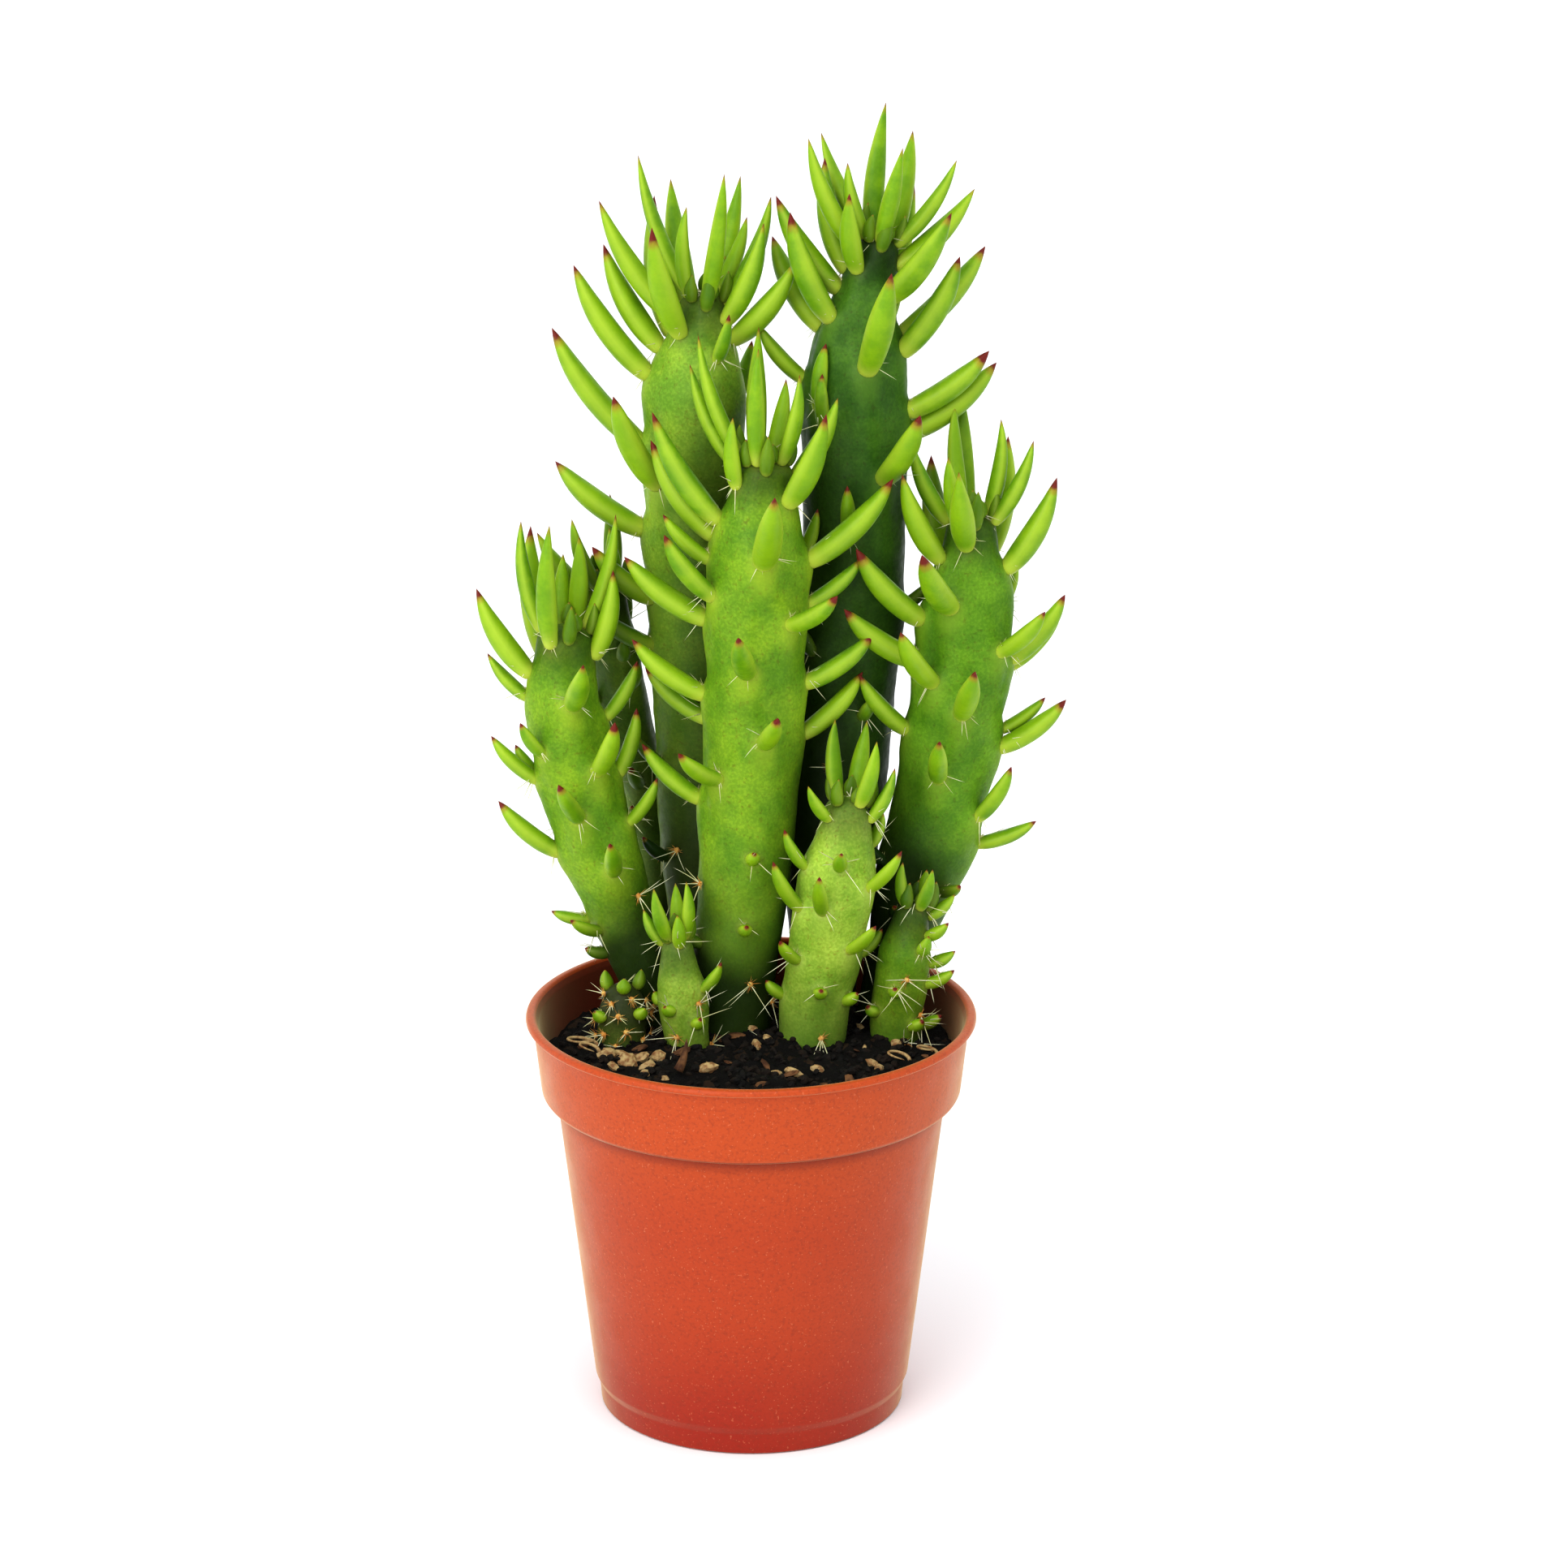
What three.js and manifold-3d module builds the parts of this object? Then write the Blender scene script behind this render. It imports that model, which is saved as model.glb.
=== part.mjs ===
// A clump of Eve's-needle cactus growing in a round plastic nursery pot.
// Millimetres, +Z up, the front of the clump towards -Y.
// The origin is the centre of the pot's underside, on the pot's axis.
import * as THREE from 'three';
import { mergeVertices } from 'three/addons/utils/BufferGeometryUtils.js';
import Module from 'manifold-3d';

const wasm = await Module();
wasm.setup();

// Driving dimensions
const gap = 0.3; // left between pieces that touch
const pot = {
  height: 78,
  footRadius: 28.9,
  footFlare: 0.3,
  stepRadius: 30,
  stepHeight: 5.6,
  stepSlope: 1.6,
  shoulderRadius: 36.8,
  shoulderHeight: 62.2,
  collarRadius: 39.6,
  collarHeight: 63.2,
  collarChamfer: [0.5, 0.7],
  collarTopRadius: 41.1,
  collarTopHeight: 76.4,
  lipRadius: 42.5,
  mouthRadius: 40.6,
  roll: 0.9, // of the lip's edge
  wall: 1.1,
  floor: 1.6,
  sides: 40,
};
const drain = { radius: 3.4, ring: 17, count: 4, sides: 12 };
const soil = { level: 70, rise: 1.5, lump: 0.6, sides: 28, rings: 4 };
const buried = 5.5; // how far a stem goes down into the soil
const crownHeight = 3; // the rounded tip of a stem
const crownRings = [14, 8, crownHeight, 1.4, 0.4]; // below the tip
const ringSpacing = 9; // along a stem below its crown
const neckDrop = 11; // where a stem's neck is, below its tip
const footLength = 40; // from a stem's foot to its belly
const stemSides = 12;
// A share of the leaf's length, at most `neck` at the tip of a stem and `most` from a drop of `grown` on
const leafWidth = { share: 0.25, least: 2.8, neck: 3.3, most: 5.2, grown: 8 };
const leafBend = 26; // degrees from a leaf's foot to its tip
// A leaf's rings as [share of its length, share of its half width], and how deep its foot is sunk in the stem
const looseLeaf = {
  sides: 6,
  sunk: 0.4,
  rings: [[0.02, 0.55], [0.14, 0.86], [0.36, 1], [0.62, 0.86], [0.85, 0.45]],
};
const grownLeaf = { sides: 5, sunk: 0.9, rings: [[0.05, 0.75], [0.5, 0.95]] };
const crowded = { length: 0.55, lift: 14, fan: [-34, 34, 0] }; // leaves of the far side: shorter, steeper

// Each stem: its centre line from the soil up, its radius at the foot, the belly and the neck, and `taper`,
// the length from its tip to its belly. `lengths` and `lifts` are its leaves' lengths, and their angles above
// the stem's square, at the tip, at the neck, 0.4 of the way down and at the foot. A leaf is [drop below the
// tip, bearing], where bearing 0 faces the front and 90 the right, and may give its own length and lift as
// two more numbers. `behind` spreads the leaves of the far side round a bearing, from a first drop to a last
// one. `loose` is how many of the listed leaves are solids of their own; the rest are one with the stem.
const stems = {
  back_right: {
    line: [
      [14, 26, 70], [15, 25.6, 102], [17.2, 25, 127], [19.3, 25, 158], [19.2, 25, 186], [20.6, 25, 204],
      [24, 25, 221.3],
    ],
    girth: [6.4, 10, 3.8],
    taper: 34,
    lengths: [24, 24, 21, 9],
    lifts: [76, 62, 52, 40],
    loose: 12,
    leaves: [
      [3, -162, 27, 72], [1, 2, 20, 76], [5, 151, 25, 90], [3.5, -77, 24, 54], [1, -126, 22, 46],
      [1.5, 91, 20, 66], [7, -43, 17, 64], [11, 41, 24, 59], [16.5, -62, 24, 58], [19.5, 106, 24, 51],
      [24, 11, 25, 60], [11.5, -85, 22, 45], [1, -81, 15, 64], [5.5, 98, 21, 56], [8.5, -107, 22, 65],
      [13, 154, 23, 74], [19.5, -110, 20, 51], [21.5, 78, 22, 65], [28.5, -90, 14, 46],
      [32.5, -44, 13, 94], [33, 81, 20, 40], [35.5, -35, 11, 82], [38, 92, 22, 39], [45, 33, 20, 49],
      [56, -6, 12, 72], [70.5, 75, 8, 46], [79.5, -45, 6, 60], [90.5, 20, 6, 50],
    ],
    behind: { first: 20, every: 13, last: 104, bearing: 180 },
  },
  back_left: {
    line: [
      [-9.4, 27.5, 70], [-8.6, 28.5, 95], [-9.2, 28.5, 126], [-10.3, 28, 158], [-10.3, 27.2, 186],
      [-9.2, 26.5, 203], [-8.6, 26, 210.2],
    ],
    girth: [6.4, 9.7, 4.2],
    taper: 22,
    lengths: [24, 26, 20, 9],
    lifts: [76, 56, 44, 36],
    loose: 10,
    leaves: [
      [1, -111, 28, 63], [5.5, -153, 26, 61], [1, 13, 27, 79], [2.5, 156, 24, 69], [2.5, 97, 23, 72],
      [5.5, -92, 27, 53], [7.5, -42, 25, 65], [8.5, 75, 21, 56], [17, -93, 26, 52], [12, -100, 23, 56],
      [1, -71, 18, 83], [1, 128, 16, 68], [5, 62, 22, 72], [10, -123, 27, 76], [11.5, 28, 11, 70],
      [30, -91, 29, 52], [35.5, -45, 23, 59], [46, -89, 22, 39], [58, -60, 18, 44],
      [67.5, -66, 16, 38], [75.5, -5, 5, 50], [91, -54, 10, 48], [110, -56, 8, 42],
    ],
    behind: { first: 24, every: 14, last: 99, bearing: 170 },
  },
  front_centre: {
    line: [
      [-3.6, 11, 70], [-3, 10.5, 83], [-0.9, 10, 105], [0.4, 9.8, 130], [1.5, 9.8, 161],
      [2.3, 10, 183],
    ],
    girth: [7.8, 9.3, 5.4],
    taper: 22,
    lengths: [26, 23, 16, 7],
    lifts: [78, 58, 44, 32],
    loose: 12,
    leaves: [
      [1, -99, 25, 68], [2.5, -111, 21, 61], [5.5, -53, 14, 83], [3, -169, 26, 83], [1, -15, 23, 84],
      [1, 62, 18, 79], [8, 49, 21, 65], [4.5, 94, 18, 63], [12.5, -84, 25, 57], [18, 5, 25, 44],
      [19.5, 86, 23, 47], [16, -101, 22, 53], [1, 152, 15, 72], [20, -85, 13, 43], [26, -64, 17, 50],
      [28, 90, 14, 42], [30, 41, 16, 33], [31.5, -92, 20, 35], [39, -9, 17, 39],
      [43, 84, 17, 39], [46, -87, 18, 36], [53.5, 95, 17, 48], [52.5, 12, 15, 36],
      [52, -112, 16, 31], [60.5, -40, 15, 32], [67, -91, 16, 41], [75.5, 6, 4, 40],
      [89.5, 5, 4, 30], [94.5, -60, 4, 30],
    ],
    behind: { first: 22, every: 13, last: 58, bearing: 160 },
  },
  right: {
    line: [
      [25, 19, 70], [29, 20, 88], [35.2, 18.5, 112], [38.8, 17, 134], [40.4, 17, 152],
      [41.2, 17, 170.5],
    ],
    girth: [5.2, 9.1, 4.4],
    taper: 22,
    lengths: [24, 20, 15, 8],
    lifts: [76, 60, 47, 40],
    loose: 9,
    leaves: [
      [1, -148, 21, 77], [4, -170, 25, 71], [2.5, -93, 18, 63], [1, 108, 19, 84], [2, 85, 18, 67],
      [11, 85, 21, 64], [9, -65, 20, 62], [5.5, -11, 23, 52], [16.5, -24, 22, 40], [2, -32, 16, 67],
      [9.5, 141, 23, 79], [13, -146, 22, 71], [20.5, -68, 21, 44], [25, 46, 15, 45],
      [27.5, 80, 17, 56], [29.5, 98, 16, 54], [28.5, -67, 20, 32], [31.5, -37, 18, 43],
      [36.5, 3, 17, 48], [41.5, 90, 11, 45], [43, -73, 16, 43], [44.5, 80, 17, 47],
      [49.5, -12, 15, 49], [57.5, 53, 14, 68], [63.5, 79, 13, 38], [70.5, -60, 8, 36],
      [72.5, 30, 7, 36], [79.5, -20, 5, 36],
    ],
    behind: { first: 20, every: 12, last: 68, bearing: 165 },
  },
  left: {
    line: [
      [-18.5, 13, 70], [-21.6, 13.5, 84], [-25.8, 14, 97], [-31, 14, 113], [-35, 14, 134],
      [-34.4, 14, 149.5],
    ],
    girth: [4.4, 7.5, 5.2],
    taper: 22,
    lengths: [22, 18, 14, 6],
    lifts: [78, 58, 50, 38],
    loose: 5,
    leaves: [
      [2, -100, 22, 76], [3.5, -31, 25, 82], [1, 108, 23, 77], [10, -90, 20, 56], [6, 83, 18, 81],
      [2.5, 161, 19, 93], [3, -169, 15, 74], [7.5, -135, 25, 76], [14.5, -100, 12, 49],
      [14, 15, 17, 43], [23, -43, 9, 61], [29, -84, 13, 57], [28, 36, 16, 46], [19.5, 95, 13, 52],
      [31.5, 92, 14, 60],
      [36, -7, 14, 48], [41, 73, 12, 41], [43, -82, 16, 60], [48, 15, 14, 39], [57.5, -88, 8, 30],
      [59.5, -50, 8, 40], [64.5, -70, 5, 30], [64.5, 70, 4, 30],
    ],
    behind: { first: 17, every: 12, last: 61, bearing: 228 },
  },
  inner_left: {
    line: [
      [-20.2, 26.6, 70], [-19.9, 30.5, 79], [-18.2, 38.2, 94], [-19.8, 38.8, 106], [-24.4, 33.5, 128],
      [-26, 29, 143], [-26.8, 27, 154],
    ],
    girth: [3.2, 5, 3.2],
    taper: 20,
    lengths: [20, 18, 13, 6],
    lifts: [78, 58, 46, 36],
    loose: 0,
    leaves: [
      [1, 20, 14, 84], [1, -60, 17, 74], [2, 170, 18, 76], [4, -95, 18, 56], [9, -90, 16, 46],
      [14, 20, 6, 70], [20, 30, 9, 60], [24, -60, 5, 50], [34, 10, 4, 50], [43, -4, 8, 58],
      [50, -24, 4, 50],
    ],
    behind: { first: 12, every: 14, last: 60, bearing: 190 },
  },
  front_pup_right: {
    line: [[11.5, 4, 70], [12.9, 4, 84], [14.8, 4, 94], [16.8, 4, 107], [18.4, 4, 119]],
    girth: [6.6, 7.7, 4.2],
    taper: 18,
    lengths: [15, 13, 11, 5],
    lifts: [76, 60, 48, 36],
    loose: 0,
    leaves: [
      [1, -135, 15, 76], [1, 165, 15, 76], [1, 42, 14, 80], [4, 76, 12, 72], [4, -50, 10, 48],
      [12, -3, 7, 42], [14, -64, 10, 52], [16, 50, 12, 56], [21, -17, 12, 51], [22, -58, 13, 50],
      [28, 36, 10, 50], [31, 104, 7, 56], [32, -45, 8, 36], [37, 2, 3, 28], [39, 52, 4, 40],
      [40, -76, 5, 36],
    ],
    behind: { first: 10, every: 10, last: 38, bearing: 150 },
  },
  front_pup_left: {
    line: [[-12, 1, 70], [-12.9, 1, 80], [-14.2, 1, 93]],
    girth: [4.6, 5.2, 2.8],
    taper: 14,
    lengths: [12, 9, 6, 3],
    lifts: [74, 56, 44, 34],
    loose: 0,
    leaves: [
      [1, -40, 12, 76], [1, 60, 12, 80], [1, 170, 10, 72], [2, -95, 8, 66], [2, 15, 7, 80],
      [11, 62, 8, 50], [14, -30, 3, 36], [17, 30, 3, 34],
    ],
    behind: { first: 8, every: 6, last: 20, bearing: 215 },
  },
  side_pup_right: {
    line: [[27, 6, 70], [28.6, 5.6, 86], [30.9, 5.4, 98]],
    girth: [4.9, 5.8, 3],
    taper: 14,
    lengths: [10, 8, 6, 4],
    lifts: [74, 52, 38, 30],
    loose: 0,
    leaves: [
      [1, 30, 9, 80], [1, -70, 9, 74], [1, 150, 7, 88], [3, 100, 7, 50], [6, 60, 6, 46],
      [12, 84, 6, 36], [16, 74, 7, 36], [17, -10, 2, 40], [24, 40, 4, 34], [25, 86, 5, 30],
      [22, -55, 3, 30],
    ],
    behind: { first: 9, every: 7, last: 12, bearing: 70 },
  },
  low_pup: {
    line: [[-24.5, 4, 70], [-24.3, 4, 76], [-24, 4, 82]],
    girth: [5, 5.4, 3.4],
    taper: 8,
    lengths: [4, 3, 3, 2],
    lifts: [70, 46, 30, 20],
    loose: 0,
    leaves: [[1, 0, 3, 80], [1, 100, 4, 74], [2, -120, 4, 70], [5, 40, 3, 40], [6, -50, 3, 36]],
    behind: { first: 5, every: 5, last: 8, bearing: 240 },
  },
};

const finishes = {
  pot: { color: '#cf5230', roughness: 0.45, metalness: 0 },
  soil: { color: '#3a2417', roughness: 0.95, metalness: 0 },
  stem: { color: '#5f9c2e', roughness: 0.5, metalness: 0 },
  leaf: { color: '#86bd28', roughness: 0.4, metalness: 0 },
};

const radians = (degrees) => THREE.MathUtils.degToRad(degrees);

// A closed geometry as a manifold-3d solid, and back again
function solidOf(geometry) {
  const bare = geometry.clone();
  bare.deleteAttribute('normal');
  bare.deleteAttribute('uv');
  const merged = mergeVertices(bare, 1e-3);
  return new wasm.Manifold(new wasm.Mesh({
    numProp: 3,
    vertProperties: merged.attributes.position.array,
    triVerts: new Uint32Array(merged.index.array),
  }));
}

function geometryOf(solid) {
  const mesh = solid.getMesh();
  const geometry = new THREE.BufferGeometry();
  geometry.setAttribute('position', new THREE.BufferAttribute(new Float32Array(mesh.vertProperties), 3));
  geometry.setIndex(new THREE.BufferAttribute(new Uint32Array(mesh.triVerts), 1));
  geometry.computeVertexNormals();
  return geometry;
}

// A solid turned round Z, from its outline as [radius, height] points that start and end on the axis
function turned(outline, sides) {
  const points = outline.map(([radius, height]) => new THREE.Vector2(radius, height));
  const geometry = new THREE.LatheGeometry(points, sides);
  return geometry.rotateX(Math.PI / 2);
}

// Moves every vertex of a geometry to where the function puts it
function reshaped(geometry, place) {
  const position = geometry.attributes.position;
  const vertex = new THREE.Vector3();
  for (let i = 0; i < position.count; i += 1) {
    place(vertex.fromBufferAttribute(position, i));
    position.setXYZ(i, vertex.x, vertex.y, vertex.z);
  }
  return geometry;
}

// The inside of the pot, up to the lip, kept `clear` of the wall
function innerOutline(clear) {
  const inset = pot.wall + clear;
  return [
    [pot.footRadius - inset, pot.floor + clear],
    [pot.stepRadius - inset, pot.stepHeight + pot.wall],
    [pot.shoulderRadius - inset, pot.shoulderHeight + inset],
    [pot.collarRadius - inset, pot.collarHeight + inset],
    [pot.collarTopRadius - inset, pot.collarTopHeight],
  ];
}

function potSolid() {
  const { height, lipRadius, mouthRadius, roll } = pot;
  const outside = [
    [0, 0],
    [pot.footRadius, 0],
    [pot.footRadius + pot.footFlare, pot.stepHeight - pot.stepSlope],
    [pot.stepRadius, pot.stepHeight],
    [pot.shoulderRadius, pot.shoulderHeight],
    [pot.collarRadius - pot.collarChamfer[0], pot.collarHeight - pot.collarChamfer[1]],
    [pot.collarRadius, pot.collarHeight],
    [pot.collarTopRadius, pot.collarTopHeight],
  ];
  const lip = [
    [lipRadius - 0.3 * roll, height - 1.4 * roll],
    [lipRadius, height - roll],
    [lipRadius - 0.3 * roll, height - 0.2 * roll],
    [lipRadius - roll, height],
    [mouthRadius + 0.4 * roll, height],
    [mouthRadius, height - 0.4 * roll],
  ];
  const inside = [[0, pot.floor], ...innerOutline(0)].reverse();
  const body = solidOf(turned([...outside, ...lip, ...inside], pot.sides));
  const holes = [];
  for (let i = 0; i < drain.count; i += 1) {
    const turn = ((i + 0.5) / drain.count) * 2 * Math.PI;
    const hole = new THREE.CylinderGeometry(drain.radius, drain.radius, 4 * pot.floor, drain.sides);
    hole.rotateX(Math.PI / 2);
    hole.translate(drain.ring * Math.cos(turn), drain.ring * Math.sin(turn), pot.floor / 2);
    holes.push(solidOf(hole));
  }
  return body.subtract(wasm.Manifold.union(holes));
}

// The height of the soil's surface, a low uneven mound
function soilHeight(x, y) {
  const out = Math.hypot(x, y) / pot.shoulderRadius;
  const lumps = Math.sin(0.31 * x + 0.9) * Math.cos(0.27 * y - 0.4) + 0.5 * Math.sin(0.62 * y + 0.2 * x);
  return soil.level + soil.rise * (1 - out * out) + soil.lump * lumps;
}

function soilSolid() {
  const wallOutline = innerOutline(gap);
  const brim = wallOutline.pop();
  const ledge = wallOutline.at(-1);
  const share = (soil.level - ledge[1]) / (brim[1] - ledge[1]);
  const edge = THREE.MathUtils.lerp(ledge[0], brim[0], share);
  const surface = [];
  for (let i = soil.rings; i >= 0; i -= 1) surface.push([(edge * i) / soil.rings, soil.level]);
  const block = turned([[0, pot.floor + gap], ...wallOutline, ...surface], soil.sides);
  reshaped(block, (v) => {
    if (v.z > soil.level - 0.01) v.z = soilHeight(v.x, v.y);
  });
  return solidOf(block);
}

// A stem's centre line, from `buried` below the soil to its tip, with its length
function stemAxis(stem) {
  const points = stem.line.map((point) => new THREE.Vector3(...point));
  const foot = points[0].clone().setZ(points[0].z - buried);
  const curve = new THREE.CatmullRomCurve3([foot, ...points], false, 'centripetal');
  curve.arcLengthDivisions = 300;
  return { curve, length: curve.getLength() };
}

// The point, the direction upwards, to the right and to the front at a drop below the tip
function frameAt(axis, drop) {
  const share = THREE.MathUtils.clamp(1 - drop / axis.length, 0, 1);
  const centre = axis.curve.getPointAt(share);
  const up = axis.curve.getTangentAt(share);
  const right = new THREE.Vector3(1, 0, 0).addScaledVector(up, -up.x).normalize();
  const front = right.clone().cross(up);
  return { centre, up, right, front };
}

function stemRadius(stem, axis, drop) {
  const [foot, belly, neck] = stem.girth;
  let radius = THREE.MathUtils.lerp(neck, belly, THREE.MathUtils.smoothstep(drop, 0, stem.taper));
  const rest = axis.length - buried - drop;
  const widest = THREE.MathUtils.lerp(foot, belly, THREE.MathUtils.smoothstep(rest, 0, footLength));
  radius = Math.min(radius, widest);
  if (drop < crownHeight) radius *= Math.sqrt(1 - (1 - drop / crownHeight) ** 2);
  return radius;
}

// A stem as a solid, with its skin moved out by `swell`
function stemSolid(stem, axis, swell) {
  const drops = [axis.length];
  const above = axis.length - buried;
  const steps = Math.ceil((above - crownRings[0]) / ringSpacing);
  for (let i = 0; i < steps; i += 1) drops.push(THREE.MathUtils.lerp(above, crownRings[0], i / steps));
  drops.push(...crownRings);
  const outline = drops.map((drop) => [stemRadius(stem, axis, drop) + swell, -drop]);
  const geometry = turned([[0, -axis.length - swell], ...outline, [0, swell]], stemSides);
  reshaped(geometry, (v) => {
    const { centre, up, right, front } = frameAt(axis, -v.z);
    const beyond = Math.max(v.z, 0) + Math.min(v.z + axis.length, 0);
    const { x, y } = v;
    v.copy(centre).addScaledVector(right, x).addScaledVector(front, -y).addScaledVector(up, beyond);
  });
  return solidOf(geometry);
}

// A value given at the tip, at the neck, half-way down and at the foot of a stem
function byDrop(values, drop, length) {
  const at = [0, neckDrop, 0.4 * length, length];
  const upper = Math.max(at.findIndex((stop) => drop < stop), 1);
  const share = (drop - at[upper - 1]) / (at[upper] - at[upper - 1]);
  return THREE.MathUtils.lerp(values[upper - 1], values[upper], THREE.MathUtils.clamp(share, 0, 1));
}

// Every leaf of a stem as { drop, bearing, length, lift }: those chosen one by one, then the far side's
function leavesOf(stem, axis) {
  const above = axis.length - buried;
  const { first, every, last, bearing } = stem.behind;
  const far = [];
  for (let drop = first, i = 0; drop <= last; drop += every, i += 1) {
    const length = crowded.length * byDrop(stem.lengths, drop, above);
    const lift = crowded.lift + byDrop(stem.lifts, drop, above);
    far.push([drop, bearing + crowded.fan[i % crowded.fan.length], length, lift]);
  }
  return [...stem.leaves, ...far].map(([drop, bearing, length, lift]) => ({
    drop,
    bearing,
    length: length ?? byDrop(stem.lengths, drop, above),
    lift: lift ?? byDrop(stem.lifts, drop, above),
  }));
}

// A leaf as a solid: a pointed spindle, bent up along an arc from its foot on the stem
function leafSolid(stem, axis, leaf, form) {
  const { length, lift } = leaf;
  const { centre, up, right, front } = frameAt(axis, leaf.drop);
  const bearing = radians(leaf.bearing);
  const out = right.multiplyScalar(Math.sin(bearing)).addScaledVector(front, Math.cos(bearing));
  const side = out.clone().cross(up);
  const base = centre.addScaledVector(out, stemRadius(stem, axis, leaf.drop) - form.sunk);
  const { share: portion, least, neck, most, grown } = leafWidth;
  const widest = THREE.MathUtils.lerp(neck, most, THREE.MathUtils.smoothstep(leaf.drop, 0, grown));
  const half = 0.5 * THREE.MathUtils.clamp(portion * length, least, widest);
  const rings = form.rings.map(([along, share]) => [half * share, length * along]);
  const start = radians(lift - leafBend / 2);
  const curl = radians(leafBend) / length;
  return solidOf(reshaped(turned([[0, 0], ...rings, [0, length]], form.sides), (v) => {
    const angle = start + curl * v.z;
    const outward = (Math.sin(angle) - Math.sin(start)) / curl + v.y * Math.sin(angle);
    const upward = (Math.cos(start) - Math.cos(angle)) / curl - v.y * Math.cos(angle);
    const across = v.x;
    v.copy(base).addScaledVector(out, outward).addScaledVector(up, upward).addScaledVector(side, across);
  }));
}

function meshOf(name, solid, finish) {
  const mesh = new THREE.Mesh(geometryOf(solid), new THREE.MeshStandardMaterial(finishes[finish]));
  mesh.name = name;
  return mesh;
}

const plant = new THREE.Group();
const sockets = [];
for (const [name, stem] of Object.entries(stems)) {
  const axis = stemAxis(stem);
  const core = stemSolid(stem, axis, 0);
  const clearing = stemSolid(stem, axis, gap);
  const leaves = leavesOf(stem, axis);
  sockets.push(clearing);
  leaves.slice(0, stem.loose).forEach((leaf, i) => {
    const solid = leafSolid(stem, axis, leaf, looseLeaf).subtract(clearing);
    plant.add(meshOf(`${name}_leaf_${i + 1}`, solid, 'leaf'));
  });
  const grown = leaves.slice(stem.loose).map((leaf) => leafSolid(stem, axis, leaf, grownLeaf));
  plant.add(meshOf(name, wasm.Manifold.union([core, ...grown]), 'stem'));
}
plant.add(meshOf('soil', soilSolid().subtract(wasm.Manifold.union(sockets)), 'soil'));
plant.add(meshOf('pot', potSolid(), 'pot'));

export default plant;
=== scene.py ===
# A clump of Eve's-needle cactus in a round nursery pot.
# Shapes are worked out in millimetres, and makeObject turns them into metres.
import math

import bpy
import numpy as np
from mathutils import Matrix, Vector, noise


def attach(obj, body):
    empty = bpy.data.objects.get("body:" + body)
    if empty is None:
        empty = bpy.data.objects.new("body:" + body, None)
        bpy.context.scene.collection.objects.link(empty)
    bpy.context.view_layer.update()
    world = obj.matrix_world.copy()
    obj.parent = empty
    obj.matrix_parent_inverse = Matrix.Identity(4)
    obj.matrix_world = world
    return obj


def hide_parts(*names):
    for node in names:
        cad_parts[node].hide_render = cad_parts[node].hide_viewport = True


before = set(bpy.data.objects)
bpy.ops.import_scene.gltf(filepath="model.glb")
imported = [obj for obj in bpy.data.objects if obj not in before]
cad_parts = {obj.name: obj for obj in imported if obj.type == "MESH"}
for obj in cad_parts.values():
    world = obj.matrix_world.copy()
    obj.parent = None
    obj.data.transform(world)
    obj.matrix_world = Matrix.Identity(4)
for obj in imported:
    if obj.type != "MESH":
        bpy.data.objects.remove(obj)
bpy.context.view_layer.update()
print("frame loaded")

mm = 0.001
scene = bpy.context.scene


# Shapes: a shape is {"verts": points, "faces": index lists, "marks": {name: one value per point}}

def skinOver(rings, firstPole, lastPole, marks=None):
    # A closed skin over rings of points, with a point at each end
    count, around = rings.shape[:2]
    verts = np.vstack([rings.reshape(-1, 3), [firstPole], [lastPole]])
    here = np.arange(around)
    following = (here + 1) % around
    faces = []
    for ring in range(count - 1):
        a = ring * around
        b = a + around
        faces += np.stack([a + here, a + following, b + following, b + here], axis=1).tolist()
    pole = count * around
    last = (count - 1) * around
    faces += [[pole, int(b), int(a)] for a, b in zip(here, following)]
    faces += [[pole + 1, int(last + a), int(last + b)] for a, b in zip(here, following)]
    return {"verts": verts, "faces": faces, "marks": marks or {}}


def joined(shapes):
    # Several shapes as one, with their marks
    verts, faces, marks, start = [], [], {}, 0
    for shape in shapes:
        verts.append(shape["verts"])
        faces += [[i + start for i in face] for face in shape["faces"]]
        for key, values in shape["marks"].items():
            marks.setdefault(key, []).append(np.asarray(values, float))
        start += len(shape["verts"])
    return {"verts": np.vstack(verts), "faces": faces,
            "marks": {key: np.concatenate(values) for key, values in marks.items()}}


def makeObject(name, shape, material):
    mesh = bpy.data.meshes.new(name)
    mesh.from_pydata((np.asarray(shape["verts"], float) * mm).tolist(), [], shape["faces"])
    mesh.polygons.foreach_set("use_smooth", [True] * len(mesh.polygons))
    for key, values in shape["marks"].items():
        layer = mesh.attributes.new(key, "FLOAT", "POINT")
        layer.data.foreach_set("value", np.asarray(values, np.float32))
    mesh.materials.append(material)
    mesh.update()
    piece = bpy.data.objects.new(name, mesh)
    scene.collection.objects.link(piece)
    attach(piece, "root")
    return piece


def ease(value, low, high):
    share = np.clip((value - low) / (high - low), 0, 1)
    return share * share * (3 - 2 * share)


def turnedRings(outline, sides):
    # Rings round Z from [radius, height] points
    angles = np.linspace(0, 2 * math.pi, sides, endpoint=False)
    radius = np.array([p[0] for p in outline])[:, None]
    height = np.array([p[1] for p in outline])[:, None]
    return np.stack([radius * np.cos(angles), radius * np.sin(angles),
                     height + 0 * angles], axis=2)


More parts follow.
